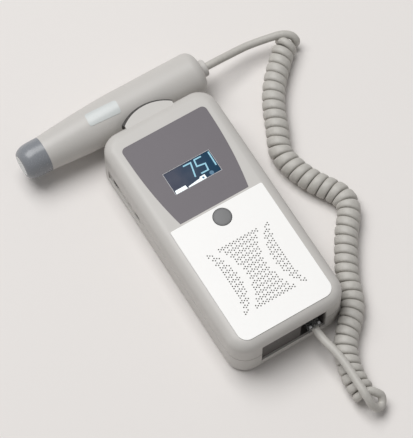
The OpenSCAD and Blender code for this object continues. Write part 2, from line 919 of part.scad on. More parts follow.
// ---------------------------------------------------------------- side controls

module side_panel() {
    half_h = strip_h / 2;
    color([0.72, 0.71, 0.68])
    difference() {
        union() {
            box([panel_face, strip_low + fit, control_z - half_h + fit],
                [panel_back, strip_high - fit, control_z + half_h - fit]);
            box([panel_back, strip_low - strip_lip, control_z - half_h - strip_lip],
                [panel_back + strip_flange, strip_high + strip_lip, control_z + half_h + strip_lip]);
        }
        box([-side_x, wheel_y - wheel_slot / 2, wheel_low - 0.4],
            [panel_back + 2 * strip_flange, wheel_y + wheel_slot / 2, wheel_low + wheel_t + 0.4]);
        box([-side_x, slot_low - slot_well, control_z - knob_h / 2 - knob_gap],
            [panel_back + 2 * strip_flange, slot_high + slot_well, control_z + knob_h / 2 + knob_gap]);
        translate([-side_x, audio_y, control_z])
            rotate([0, 90, 0])
                cylinder(h = wall + 2 * strip_flange, r = audio_nose_r + fit);
    }
}

module volume_pot() {
    half = pot_size / 2;
    color([0.30, 0.30, 0.33])
    translate([wheel_x, wheel_y, 0]) {
        box([-half + 1, -half, side_board_top], [half + 1, half, wheel_low - 0.3]);
        translate([0, 0, wheel_low - 0.3 - eps])
            cylinder(h = wheel_t + 0.4 + 2 * eps, r = wheel_pin_r);
        translate([0, 0, wheel_low + wheel_t + 0.1])
            cylinder(h = pin_head_t, r = pin_head_r);
    }
}

module volume_wheel() {
    ridges = 28;
    color([0.20, 0.20, 0.21])
    translate([wheel_x, wheel_y, wheel_low])
        difference() {
            cylinder(h = wheel_t, d = wheel_d);
            translate([0, 0, -cut])
                cylinder(h = wheel_t + 2 * cut, r = wheel_pin_r + running_gap);
            for (i = [0 : ridges - 1])
                rotate([0, 0, i * 360 / ridges])
                    translate([wheel_d / 2 + 0.15, 0, -cut])
                        cylinder(h = wheel_t + 2 * cut, r = 0.45, $fn = 16);
        }
}

module slide_switch() {
    back = side_board_x + 5;
    color([0.68, 0.69, 0.70])
    difference() {
        box([side_board_x, slot_low - switch_wall, side_board_top],
            [back, slot_high + switch_wall, control_z + 2]);
        box([side_board_x - cut, slot_low, control_z - knob_h / 2 - knob_gap],
            [back - 1, slot_high, control_z + knob_h / 2 + knob_gap]);
    }
}

module slide_knob() {
    color([0.72, 0.71, 0.68])
    box([-side_x + strip_sink - knob_out, knob_y - knob_l / 2, control_z - knob_h / 2],
        [side_board_x + 3.4, knob_y + knob_l / 2, control_z + knob_h / 2]);
}

module audio_socket() {
    half = audio_w / 2;
    nose_x = panel_face + 0.1;
    color([0.14, 0.14, 0.15])
    difference() {
        union() {
            box([side_board_x, audio_y - half, side_board_top],
                [nose_x + audio_depth + 1.2, audio_y + half, control_z + half]);
            translate([nose_x, audio_y, control_z])
                rotate([0, 90, 0])
                    cylinder(h = side_board_x - nose_x + eps, r = audio_nose_r);
        }
        translate([nose_x - cut, audio_y, control_z])
            rotate([0, 90, 0])
                cylinder(h = audio_depth + cut, r = audio_r);
    }
}

// ---------------------------------------------------------------- lower end

// opening that lets the plug and its latch in, from y0 to y1
module plug_way(y0, y1) {
    half = plug_w / 2 + plug_gap;
    top = plug_z + plug_h / 2;
    box([plug_x - half, y0, plug_z - plug_h / 2 - plug_gap], [plug_x + half, y1, top + plug_gap]);
    box([plug_x - latch_w / 2 - 0.3, y0, top], [plug_x + latch_w / 2 + 0.3, y1, top + keyway_h]);
}

module end_panel() {
    color([0.30, 0.29, 0.30])
    difference() {
        union() {
            box([recess_low_x + fit, blank_face, recess_z + fit],
                [recess_high_x - fit, bay_back + bay_back_t, recess_high_z - fit]);
            box([recess_low_x - end_lip, blank_back, recess_z - end_lip],
                [recess_high_x + end_lip, blank_back + end_flange, recess_high_z - fit]);
        }
        // back of the blank side is open, so that the wall is thin
        box([recess_low_x + bay_rim, blank_face + blank_wall, recess_z + bay_rim],
            [jack_bay_x - bay_rim, bay_back + 2 * bay_back_t, recess_high_z - bay_rim]);
        // deep bay for the plug
        box([jack_bay_x, blank_face - cut, recess_z + bay_rim],
            [recess_high_x - bay_rim, bay_back, recess_high_z - bay_rim]);
        plug_way(blank_face, bay_back + 2 * bay_back_t);
    }
}

module probe_socket() {
    front = bay_back + bay_back_t;
    half = plug_w / 2 + jack_wall;
    color([0.10, 0.10, 0.11])
    difference() {
        box([plug_x - half, front, socket_board_z + board_t],
            [plug_x + half, front + jack_l, plug_z + plug_h / 2 + keyway_h + 1.2]);
        plug_way(front - cut, plug_front + 1);
    }
}

module socket_contacts() {
    color([0.86, 0.70, 0.32])
    for (i = [0 : contact_n - 1])
        translate([plug_x + (i - (contact_n - 1) / 2) * contact_pitch - contact_w / 2, 0, 0])
            box([0, plug_front + 0.3, plug_z - plug_h / 2 + 0.3], [contact_w, plug_front + 1, plug_z + 1.5]);
}

// ---------------------------------------------------------------- battery

module battery_cells() {
    can_l = cell_l - 1;
    color([0.20, 0.35, 0.55])
    for (s = [-1, 1])
        translate([s * cell_x, bay_mid, cell_z])
            rotate([s * 90, 0, 0])
                translate([0, 0, -cell_l / 2]) {
                    cylinder(h = can_l, d = cell_d);
                    translate([0, 0, can_l - eps])
                        cylinder(h = 1 + eps, d = 5.4);
                }
}

module battery_springs() {
    start = cell_l / 2 + 0.05;
    reach = (bay_high - bay_low) / 2 - contact_t - start;
    steps = 3;
    color([0.75, 0.76, 0.78])
    for (s = [-1, 1])
        translate([s * cell_x, bay_mid, cell_z])
            rotate([s * -90, 0, 0])
                translate([0, 0, start])
                    rotate_extrude()
                        polygon(concat(
                            [[0, 0]],
                            [for (k = [0 : steps]) [2.4 + k * 0.8 + (k % 2) * 0.5, reach * k / steps]],
                            [[0, reach]]));
}

module battery_plates() {
    color([0.75, 0.76, 0.78])
    for (x = [-cell_x, cell_x], y = [bay_low, bay_high - contact_t])
        box([x - contact_half, y, cell_z - contact_half_h],
            [x + contact_half, y + contact_t, cell_z + contact_half_h]);
}

module battery_door() {
    grips = 4;
    color([0.78, 0.77, 0.74])
    difference() {
        intersection() {
            translate([0, door_high, 0])
                rotate([90, 0, 0])
                    linear_extrude(door_high - low_y)
                        door_section(0);
            body_form(0);
        }
        // finger grooves near the lower end
        for (i = [0 : grips - 1])
            translate([-8, low_y + 7 + i * 2.2, -0.4])
                cube([16, 1, 0.8]);
    }
}

// ---------------------------------------------------------------- probe

// radius of the tapering handle; share runs from 0 at the tip to 1 at the grip
function taper_r(share) = probe_r - (probe_r - neck_d / 2) * pow(1 - share, taper_power);

// outline of the handle as radius and distance along the axis, made smaller by inset
function handle_section(inset) = let (
    steps = taper_steps,
    start = inset == 0 ? 0 : -cut,
    taper = [for (i = [0 : steps]) [taper_r(i / steps) - inset, neck_x + taper_l * i / steps]],
    bend = arc(probe_r - rear_r, probe_rear - rear_r, rear_r - inset, 0, 90, 8))
    concat([[0, neck_x + start], [neck_d / 2 - inset, neck_x + start]],
           [for (i = [1 : steps]) taper[i]], bend, [[0, probe_rear - inset]]);

// turns a section drawn as radius and height into a shape along the probe's axis
module on_probe_axis() {
    translate([0, probe_y, probe_z])
        rotate([0, 90, 0])
            rotate_extrude($fn = 96)
                children();
}

module probe_handle() {
    difference() {
        on_probe_axis() polygon(handle_section(0));
        on_probe_axis() polygon(handle_section(probe_wall));
        translate([probe_rear - 2 * probe_wall, probe_y, probe_z])
            rotate([0, 90, 0])
                cylinder(h = 2 * probe_wall + cut, r = cord_d / 2 + 1);
    }
}

module probe_upper_shell() {
    color([0.80, 0.79, 0.76])
    intersection() {
        probe_handle();
        box([neck_x - cut, probe_y - probe_d, probe_z],
            [probe_rear + cut, probe_y + probe_d, probe_z + probe_d]);
    }
}

module probe_lower_shell() {
    color([0.77, 0.76, 0.73])
    intersection() {
        probe_handle();
        box([neck_x - cut, probe_y - probe_d, probe_z - probe_d],
            [probe_rear + cut, probe_y + probe_d, probe_z]);
    }
}

module probe_tip_cap() {
    steps = 9;
    neck_r = neck_d / 2;
    face_r = face_d / 2;
    dome = [for (i = [0 : steps]) let (a = 90 * i / steps)
        [face_r + (neck_r - face_r) * sin(a), face_x + tip_round * (1 - cos(a))]];
    color([0.40, 0.43, 0.46])
    on_probe_axis()
        polygon(concat(
            dome,
            [[neck_r, neck_x], [neck_r - probe_wall, neck_x],
             [neck_r - probe_wall, neck_x + spigot_l], [neck_r - 2 * probe_wall, neck_x + spigot_l],
             [neck_r - 2 * probe_wall, face_x + face_t], [face_r, face_x + face_t]]));
}

module probe_face() {
    color([0.80, 0.83, 0.84])
    translate([face_x, probe_y, probe_z])
        rotate([0, 90, 0])
            cylinder(h = face_t, r = face_d / 2 - eps, $fn = 96);
}

module probe_crystals() {
    disc_r = neck_d / 2 - 2 * probe_wall - 0.4;
    gap = 0.4;
    color([0.80, 0.72, 0.50])
    for (s = [-1, 1])
        intersection() {
            translate([face_x + face_t, probe_y, probe_z])
                rotate([0, 90, 0])
                    cylinder(h = crystal_t, r = disc_r, $fn = 96);
            box([face_x, probe_y + (s > 0 ? gap : -probe_r), probe_z - probe_r],
                [neck_x, probe_y + (s > 0 ? probe_r : -gap), probe_z + probe_r]);
        }
}

module probe_backing() {
    start = face_x + face_t + crystal_t;
    disc_r = neck_d / 2 - 2 * probe_wall - fit;
    color([0.35, 0.30, 0.26])
    translate([start, probe_y, probe_z])
        rotate([0, 90, 0])
            cylinder(h = neck_x + spigot_l - start, r = disc_r, $fn = 96);
}

module probe_board() {
    start = neck_x + spigot_l;
    half = taper_r(spigot_l / taper_l) - probe_wall - 0.5;
    color([0.12, 0.38, 0.22])
    box([start, probe_y - half, probe_z - board_t / 2],
        [start + grip_l, probe_y + half, probe_z + board_t / 2]);
}

module probe_label() {
    first = taper_steps - 5;
    mid_x = grip_start - label_l / 2;
    rises = [for (i = [first : taper_steps]) [taper_r(i / taper_steps), neck_x + taper_l * i / taper_steps]];
    under = concat(rises, [[probe_r, grip_start + label_l / 4]]);
    over = [for (i = [len(under) - 1 : -1 : 0]) [under[i][0] + label_t, under[i][1]]];
    color([0.84, 0.88, 0.90])
    intersection() {
        on_probe_axis()
            polygon(concat(under, over));
        translate([mid_x, probe_y + label_shift, probe_z])
            rotate([0, 0, label_lean])
                linear_extrude(probe_d)
                    polygon(plate_outline(label_l / 2, -label_w / 2, label_w / 2, 1.5, 1.5));
    }
}

module probe_collar() {
    color([0.76, 0.75, 0.72])
    on_probe_axis()
        polygon(concat(
            [[cord_d / 2 - 0.8, probe_rear - 2 * probe_wall], [cord_d / 2 + 0.9, probe_rear - 2 * probe_wall],
             [cord_d / 2 + 0.9, probe_rear], [collar_d / 2, probe_rear]],
            arc(collar_d / 2 - 0.8, collar_end - 0.8, 0.8, 0, 90, 4),
            [[cord_d / 2 - 0.8, collar_end]]));
}

// ---------------------------------------------------------------- cord

function unit(v) = v / norm(v);

// direction of a route at its point i
function heading(route, i) =
    unit(route[min(i + 1, len(route) - 1)] - route[max(i - 1, 0)]);

// closed tube of radius r with a ring of points at each point of the route
module swept_tube(route, r, sides) {
    last = len(route) - 1;
    points = [for (i = [0 : last])
        let (h = heading(route, i), across = unit(cross(h, [0, 0, 1])), rise = cross(across, h))
        for (k = [0 : sides - 1])
            let (a = 360 * k / sides) route[i] + r * cos(a) * across + r * sin(a) * rise];
    walls = [for (i = [0 : last - 1], k = [0 : sides - 1])
        let (a = i * sides + k, b = i * sides + (k + 1) % sides)
        for (face = [[a, a + sides, b], [b, a + sides, b + sides]]) face];
    ends = [[for (k = [0 : sides - 1]) k], [for (k = [sides - 1 : -1 : 0]) last * sides + k]];
    polyhedron(points, concat(walls, ends));
}

module cord_probe_lead() {
    color([0.70, 0.69, 0.65])
    swept_tube(probe_lead_route, cord_d / 2, cord_sides);
}

module cord_coil() {
    color([0.66, 0.65, 0.61])
    swept_tube([for (p = coil_route) [p[0], p[1], coil_z]], coil_d / 2, coil_sides);
}

module cord_plug_lead() {
    color([0.70, 0.69, 0.65])
    swept_tube(plug_lead_route, cord_d / 2, cord_sides);
}

// ---------------------------------------------------------------- plug

module modular_plug() {
    half = plug_w / 2;
    low = plug_z - plug_h / 2;
    top = plug_z + plug_h / 2;
    color([0.75, 0.77, 0.78])
    difference() {
        box([plug_x - half, plug_back, low], [plug_x + half, plug_front, top]);
        // groove for the latch's root and the hollow under the latch
        translate([plug_x - latch_w / 2 - 0.2, latch_y, latch_z])
            rotate([0, 90, 0])
                cylinder(h = latch_w + 0.4, r = latch_pin_r + running_gap);
        box([plug_x - latch_w / 2 - 0.2, latch_y - latch_pin_r - running_gap, latch_z],
            [plug_x + latch_w / 2 + 0.2, latch_y + latch_pin_r + running_gap, top + cut]);
        box([plug_x - latch_w / 2 - 0.2, plug_back - cut, top - 1.1],
            [plug_x + latch_w / 2 + 0.2, latch_y, top + cut]);
        // slots for the contacts
        for (i = [0 : contact_n - 1])
            translate([plug_x + (i - (contact_n - 1) / 2) * contact_pitch - contact_w / 2 - fit / 2, 0, 0])
                box([0, plug_front - 4, low - cut], [contact_w + fit, plug_front - 0.6, low + 2.4]);
    }
}

module plug_contacts() {
    low = plug_z - plug_h / 2;
    color([0.86, 0.70, 0.32])
    for (i = [0 : contact_n - 1])
        translate([plug_x + (i - (contact_n - 1) / 2) * contact_pitch - contact_w / 2, 0, 0])
            box([0, plug_front - 3.9, low + 0.2], [contact_w, plug_front - 0.7, low + 2.4]);
}

module plug_latch() {
    color([0.80, 0.82, 0.83])
    translate([plug_x - latch_w / 2, latch_y, latch_z]) {
        rotate([0, 90, 0])
            cylinder(h = latch_w, r = latch_pin_r);
        rotate([-latch_angle, 0, 0])
            translate([0, -latch_l, latch_pin_r - latch_t])
                cube([latch_w, latch_l, latch_t]);
    }
}

// ---------------------------------------------------------------- assembly

front_shell();
rear_shell();
shell_screws();
display_panel();
display_window();
lcd_glass();
lcd_backlight();
lcd_frame();
speaker_plate();
speaker_cloth();
speaker_basket();
speaker_cone();
speaker_magnet();
power_button();
button_switch();
switch_plunger();
main_board();
board_parts();
board_screws();
side_panel();
side_board();
volume_pot();
volume_wheel();
slide_switch();
slide_knob();
audio_socket();
end_panel();
socket_board();
probe_socket();
socket_contacts();
battery_cells();
battery_springs();
battery_plates();
battery_door();
probe_upper_shell();
probe_lower_shell();
probe_tip_cap();
probe_face();
probe_crystals();
probe_backing();
probe_board();
probe_label();
probe_collar();
cord_probe_lead();
cord_coil();
cord_plug_lead();
modular_plug();
plug_contacts();
plug_latch();
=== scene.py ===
"""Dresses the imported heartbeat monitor, its docked probe and its curly cord."""

import json
import math

import bmesh
import bpy
from bpy.props import FloatProperty, FloatVectorProperty, PointerProperty
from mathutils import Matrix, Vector


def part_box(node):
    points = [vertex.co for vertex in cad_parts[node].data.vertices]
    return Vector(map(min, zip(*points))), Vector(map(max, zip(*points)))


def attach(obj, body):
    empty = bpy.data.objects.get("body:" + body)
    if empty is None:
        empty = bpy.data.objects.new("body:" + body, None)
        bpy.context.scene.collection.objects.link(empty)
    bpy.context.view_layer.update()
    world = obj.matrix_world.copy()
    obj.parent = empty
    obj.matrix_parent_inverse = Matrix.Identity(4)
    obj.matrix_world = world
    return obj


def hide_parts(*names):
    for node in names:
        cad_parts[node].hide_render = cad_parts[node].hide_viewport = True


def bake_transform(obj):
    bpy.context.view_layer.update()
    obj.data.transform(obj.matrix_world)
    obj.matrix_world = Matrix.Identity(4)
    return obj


bl_info = {
    "name": "Heartbeat Monitor",
    "version": (1, 0, 0),
    "blender": (4, 5, 0),
    "location": "View3D > Sidebar > Monitor",
    "description": "Adds the finishes, the cord and the stage of a hand-held heartbeat monitor",
    "category": "Object",
}

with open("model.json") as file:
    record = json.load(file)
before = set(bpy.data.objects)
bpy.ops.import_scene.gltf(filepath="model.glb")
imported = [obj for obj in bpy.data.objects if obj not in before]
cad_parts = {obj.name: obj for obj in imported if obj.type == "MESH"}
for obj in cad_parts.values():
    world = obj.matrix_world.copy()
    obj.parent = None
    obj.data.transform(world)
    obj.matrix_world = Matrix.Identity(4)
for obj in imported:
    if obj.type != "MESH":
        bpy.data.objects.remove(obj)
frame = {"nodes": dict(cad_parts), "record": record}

MM = 0.001
WELD = 1e-6
SHARPEST_MITRE = 0.4
UP = Vector((0, 0, 1))
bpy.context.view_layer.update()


def linear(*channels):
    """Linear light of a colour given as sRGB channels from 0 to 255."""
    shares = [channel / 255 for channel in channels]
    return tuple(s / 12.92 if s <= 0.04045 else ((s + 0.055) / 1.055) ** 2.4 for s in shares)


def length(name, default, description):
    """Property for a length that a user may change."""
    return FloatProperty(
        name=name, description=description, default=default, min=0.0, unit="LENGTH", precision=5
    )


def colour(name, default, description):
    """Property for a colour, its default given in sRGB."""
    return FloatVectorProperty(
        name=name, description=description, default=linear(*default), min=0.0, max=1.0, subtype="COLOR"
    )


class MonitorSizes(bpy.types.PropertyGroup):
    """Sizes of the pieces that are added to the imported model."""

    cord_diameter: length("Cord Diameter", 4.8 * MM, "Diameter of the cord's jacket")
    cord_length: length("Cord Length", 1.43, "Length of the cord from the probe to the plug")
    coil_radius: length("Coil Radius", 4.7 * MM, "Radius of the curly part's turns, to the jacket's middle")
    first_pitch: length("First Pitch", 6.0 * MM, "Distance between turns of the curly part near the probe")
    last_pitch: length("Last Pitch", 5.4 * MM, "Distance between turns of the curly part near the plug")
    turn_gap: length("Turn Gap", 0.15 * MM, "Half of the gap between two pressed turns")
    stroke: length("Figure Stroke", 0.85 * MM, "Width of the lines of the display's figures")
    figure_height: length("Figure Relief", 0.05 * MM, "Height of the display's figures")
    trim: length("Window Trim", 0.35 * MM, "Width of the pale line around the window")


class MonitorColours(bpy.types.PropertyGroup):
    """Colours of the monitor, its probe, its cord and the floor."""

    body: colour("Body", (199, 196, 192), "Moulded shells of the monitor and the probe")
    plate: colour("Speaker Plate", (244, 243, 241), "White plate with the grille")
    panel: colour("Display Panel", (96, 90, 96), "Grey panel around the display")
    button: colour("Button", (122, 122, 123), "Power button")
    tip: colour("Probe Tip", (134, 137, 142), "Cap at the probe's end")
    cord: colour("Cord", (190, 187, 181), "Jacket of the cord")
    screen_left: colour("Screen Left", (56, 61, 77), "Left side of the display's ground")
    screen_right: colour("Screen Right", (14, 52, 76), "Right side of the display's ground")
    figures: colour("Figures", (134, 188, 207), "Lit figures of the display")
    marks: colour("Marks", (240, 250, 252), "Bright marks under the figures")
    spot: colour("Spot", (60, 110, 140), "Dim round mark beside the bright ones")
    floor: colour("Floor", (232, 228, 225), "Floor under the monitor")


# ---------------------------------------------------------------- finishes


class Wire:
    """A node's socket that takes part in ordinary arithmetic."""

    def __init__(self, shading, socket):
        self.shading = shading
        self.socket = socket

    def combined(self, operation, other):
        """Wire from a Math node that joins this wire and a second value."""
        return self.shading.node("ShaderNodeMath", {"operation": operation}, {0: self, 1: other})

    def __add__(self, other):
        return self.combined("ADD", other)

    def __mul__(self, other):
        return self.combined("MULTIPLY", other)

    __radd__ = __add__
    __rmul__ = __mul__


class Shading:
    """A node tree of a material or of the world."""

    def __init__(self, tree):
        self.tree = tree

    def put(self, socket, value):
        """Links a wire to a socket, or sets the socket's own value."""
        if isinstance(value, Wire):
            self.tree.links.new(value.socket, socket)
        else:
            socket.default_value = value

    def node(self, kind, settings=None, sockets=None, out=0):
        """Adds a node with its settings and sockets and returns one output."""
        made = self.tree.nodes.new(kind)
        for key, value in (settings or {}).items():
            setattr(made, key, value)
        for key, value in (sockets or {}).items():
            self.put(made.inputs[key], value)
        return Wire(self, made.outputs[out])


class Finish(Shading):
    """A material built around one Principled shader."""

    def __init__(self, name, base, roughness, **constants):
        self.material = bpy.data.materials.new(name)
        self.material.use_nodes = True
        super().__init__(self.material.node_tree)
        self.shader = self.tree.nodes["Principled BSDF"]
        self.base = (*base, 1.0)
        self.put(self.shader.inputs["Base Color"], self.base)
        self.put(self.shader.inputs["Roughness"], roughness)
        for key, value in constants.items():
            self.put(self.shader.inputs[key.replace("_", " ")], value)

    def place(self, stretch=(1, 1, 1)):
        """Object coordinates, scaled along each axis."""
        spot = self.node("ShaderNodeTexCoord", out="Object")
        if stretch == (1, 1, 1):
            return spot
        return self.node("ShaderNodeMapping", sockets={"Vector": spot, "Scale": stretch})

    def axis(self, name):
        """One of the object coordinates, in metres."""
        return self.node("ShaderNodeSeparateXYZ", sockets={0: self.place()}, out=name)

    def noise(self, size, detail=2.0, stretch=(1, 1, 1)):
        """Soft random pattern with features of a given size in metres."""
        sockets = {"Vector": self.place(stretch), "Scale": 1 / size, "Detail": detail}
        return self.node("ShaderNodeTexNoise", sockets=sockets)

    def grains(self, size):
        """Rounded grains of a given size in metres, 0 at their middles."""
        return self.node("ShaderNodeTexVoronoi", sockets={"Vector": self.place(), "Scale": 1 / size})

    def ranged(self, value, low, high, new_low, new_high):
        """Maps a value's range to another one, held at its ends."""
        sockets = {"Value": value, "From Min": low, "From Max": high, "To Min": new_low, "To Max": new_high}
        return self.node("ShaderNodeMapRange", {"clamp": True}, sockets)

    def mix(self, share, first, second):
        """Colour between two colours."""
        ends = {0: share}
        for key, value in ((6, first), (7, second)):
            ends[key] = value if isinstance(value, Wire) else (*value[:3], 1.0)
        return self.node("ShaderNodeMix", {"data_type": "RGBA"}, ends, out=2)

    def shaded(self, factor):
        """The base colour, made darker or lighter by a factor."""
        return tuple(min(1.0, channel * factor) for channel in self.base[:3])

    def tint(self, wire):
        """Gives the surface its colour."""
        self.put(self.shader.inputs["Base Color"], wire)

    def glow(self, wire):
        """Gives the surface the colour of its own light."""
        self.put(self.shader.inputs["Emission Color"], wire)

    def rough(self, wire):
        """Gives the surface its roughness."""
        self.put(self.shader.inputs["Roughness"], wire)

    def bump(self, height, depth):
        """Relief of a given depth in metres."""
        relief = self.node("ShaderNodeBump", sockets={"Strength": 1.0, "Distance": depth, "Height": height})
        self.put(self.shader.inputs["Normal"], relief)


def moulded(name, base, roughness, grain, depth, spread, **constants):
    """Moulded plastic with a fine spark texture and a faint uneven tone."""
    finish = Finish(name, base, roughness, **constants)
    cloud = finish.noise(22 * MM, 3.0)
    fine = finish.noise(grain)
    tone = finish.ranged(cloud * 0.6 + fine * 0.4, 0.3, 0.7, 0.0, 1.0)
    finish.tint(finish.mix(tone, finish.shaded(1 - spread), finish.shaded(1 + spread)))
    finish.rough(finish.ranged(fine, 0.3, 0.7, roughness - 0.05, roughness + 0.06))
    finish.bump(fine, depth)
    return finish


def body_plastic(colours):
    """Light warm grey of the shells, with a fine moulded grain."""
    return moulded("body_plastic", colours.body, 0.42, 0.7 * MM, 0.012 * MM, 0.02, Specular_IOR_Level=0.42)


def white_plastic(colours):
    """Smooth white of the speaker plate."""
    return moulded("white_plastic", colours.plate, 0.34, 1.1 * MM, 0.004 * MM, 0.01)


def panel_plastic(colours):
    """Purple-grey of the panel around the display."""
    return moulded("panel_plastic", colours.panel, 0.4, 0.5 * MM, 0.006 * MM, 0.03)


def button_plastic(colours):
    """Soft grey plastic, with painted shade darkening the button's rim."""
    finish = Finish("button_plastic", colours.button, 0.55)
    low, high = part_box("power_button")
    middle = tuple((a + b) / 2 for a, b in zip(low, high))
    away = finish.node(
        "ShaderNodeVectorMath",
        {"operation": "DISTANCE"},
        {0: finish.place(), 1: (middle[0], middle[1], high[2])},
        out="Value",
    )
    fine = finish.noise(0.6 * MM)
    # painted shade: the colour darkens towards the gap around the button's rim
    tone = finish.ranged(away + fine * 0.5 * MM, 4.3 * MM, 5.5 * MM, 0.0, 1.0)
    grained = finish.mix(fine, finish.shaded(0.9), finish.shaded(1.1))
    finish.tint(finish.mix(tone, grained, finish.shaded(0.7)))
    finish.rough(finish.ranged(fine, 0.3, 0.7, 0.48, 0.62))
    finish.bump(fine, 0.02 * MM)
    return finish


def tip_plastic(colours):
    """Satin blue-grey of the probe's tip."""
    return moulded("tip_plastic", colours.tip, 0.24, 0.8 * MM, 0.006 * MM, 0.03)


def face_plastic(colours):
    """Pale resin of the probe's end face."""
    return moulded("face_plastic", linear(206, 210, 210), 0.25, 1.5 * MM, 0.004 * MM, 0.02)


def cord_jacket(colours):
    """Soft vinyl jacket with a matt, slightly dusty surface."""
    finish = Finish("cord_jacket", colours.cord, 0.5)
    dust = finish.noise(1.6 * MM, 4.0)
    grains = finish.grains(0.35 * MM)
    tone = finish.ranged(dust + grains * 0.25, 0.35, 0.85, 0.0, 1.0)
    finish.tint(finish.mix(tone, finish.shaded(0.93), finish.shaded(1.06)))
    finish.rough(finish.ranged(dust, 0.3, 0.7, 0.42, 0.6))
    finish.bump(grains + dust, 0.02 * MM)
    return finish


def label_film(colours):
    """Pale glossy film with a faint laminate shine."""
    finish = Finish("label_film", linear(204, 208, 207), 0.35, Coat_Weight=0.2, Coat_Roughness=0.2)
    flecks = finish.noise(1.0 * MM, 3.0)
    finish.tint(finish.mix(flecks, finish.shaded(0.93), finish.shaded(1.05)))
    finish.rough(finish.ranged(flecks, 0.3, 0.7, 0.3, 0.42))
    finish.bump(flecks, 0.005 * MM)
    return finish


def clear_plastic(colours):
    """Clear plastic of the plug."""
    finish = Finish("clear_plastic", linear(206, 208, 208), 0.2, Transmission_Weight=0.85, IOR=1.5)
    cloud = finish.noise(2.5 * MM)
    finish.tint(finish.mix(cloud, finish.shaded(0.92), finish.shaded(1.04)))
    finish.rough(finish.ranged(cloud, 0.3, 0.7, 0.14, 0.3))
    return finish


def window_clear(colours):
    """Dark ground of the display, lighter on the left."""
    finish = Finish("window_clear", colours.screen_left, 0.5, Emission_Strength=0.25, Specular_IOR_Level=0.2)
    low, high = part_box("display_window")
    side = finish.ranged(finish.axis("X"), low[0], high[0], 0.0, 1.0)
    cloud = finish.noise(6 * MM)
    share = finish.ranged(side + cloud * 0.3, 0.3, 1.0, 0.0, 1.0)
    ground = finish.mix(share, colours.screen_left, colours.screen_right)
    finish.tint(ground)
    finish.glow(ground)
    finish.rough(finish.ranged(cloud, 0.3, 0.7, 0.45, 0.56))
    return finish


def lit(name, shade, strength, dim):
    """Lit mark of the display, its light uneven from a dim share to a little over full."""
    finish = Finish(name, shade, 0.4, Emission_Strength=strength)
    cloud = finish.noise(1.2 * MM)
    finish.tint(finish.mix(cloud, finish.shaded(0.35), finish.shaded(0.45)))
    finish.glow(finish.mix(cloud, finish.shaded(dim), finish.shaded(1.08)))
    return finish


def metal(name, base, roughness):
    """Plated or drawn metal with fine level lines."""
    finish = Finish(name, base, roughness, Metallic=1.0)
    lines = finish.noise(1.2 * MM, 3.0, stretch=(1, 1, 12))
    finish.tint(finish.mix(lines, finish.shaded(0.88), finish.shaded(1.08)))
    finish.rough(finish.ranged(lines, 0.3, 0.7, roughness - 0.08, roughness + 0.1))
    finish.bump(lines, 0.004 * MM)
    return finish


def circuit_board(colours):
    """Green solder mask with paler traces and gold pads."""
    finish = Finish("circuit_board", linear(30, 92, 52), 0.35)
    traces = finish.node(
        "ShaderNodeTexBrick",
        {"offset": 0.37, "squash": 1.6, "squash_frequency": 3},
        {"Vector": finish.place(), "Scale": 1 / (9 * MM), "Mortar Size": 0.035},
        out="Fac",
    )
    pads = finish.grains(3.2 * MM)
    pad = finish.ranged(pads, 0.16, 0.2, 1.0, 0.0)
    lined = finish.mix(traces, finish.base, finish.shaded(1.6))
    finish.tint(finish.mix(pad, lined, linear(190, 160, 90)))
    finish.rough(finish.ranged(traces, 0.0, 1.0, 0.3, 0.42))
    finish.bump(traces, 0.03 * MM)
    return finish


def cell_can(colours):
    """Printed can: a dark sleeve with a copper band at its upper end."""
    finish = Finish("cell_can", linear(44, 46, 52), 0.3)
    low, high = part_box("battery_cells")
    band = low[1] + 0.72 * (high[1] - low[1])
    cloud = finish.noise(4 * MM)
    share = finish.ranged(finish.axis("Y"), band, band + 0.2 * MM, 0.0, 1.0)
    sleeve = finish.mix(cloud, finish.shaded(0.9), finish.shaded(1.15))
    finish.tint(finish.mix(share, sleeve, linear(184, 128, 84)))
    finish.rough(finish.ranged(cloud, 0.3, 0.7, 0.24, 0.36))
    return finish


def fabric(name, base):
    """Fine woven cloth or pressed paper."""
    finish = Finish(name, base, 0.85)
    weave = finish.node(
        "ShaderNodeTexChecker", sockets={"Vector": finish.place(), "Scale": 1 / (0.25 * MM)}, out="Fac"
    )
    fibre = finish.noise(0.8 * MM, 4.0)
    finish.tint(finish.mix(weave * 0.4 + fibre * 0.6, finish.shaded(0.7), finish.shaded(1.3)))
    finish.rough(finish.ranged(fibre, 0.3, 0.7, 0.78, 0.92))
    finish.bump(weave, 0.02 * MM)
    return finish


def plain(name, shade, roughness):
    """Maker of a moulded finish of one fixed shade."""
    return lambda colours: moulded(name, linear(*shade), roughness, 0.8 * MM, 0.01 * MM, 0.05)


def plated(name, shade, roughness):
    """Maker of a metal finish of one fixed shade."""
    return lambda colours: metal(name, linear(*shade), roughness)


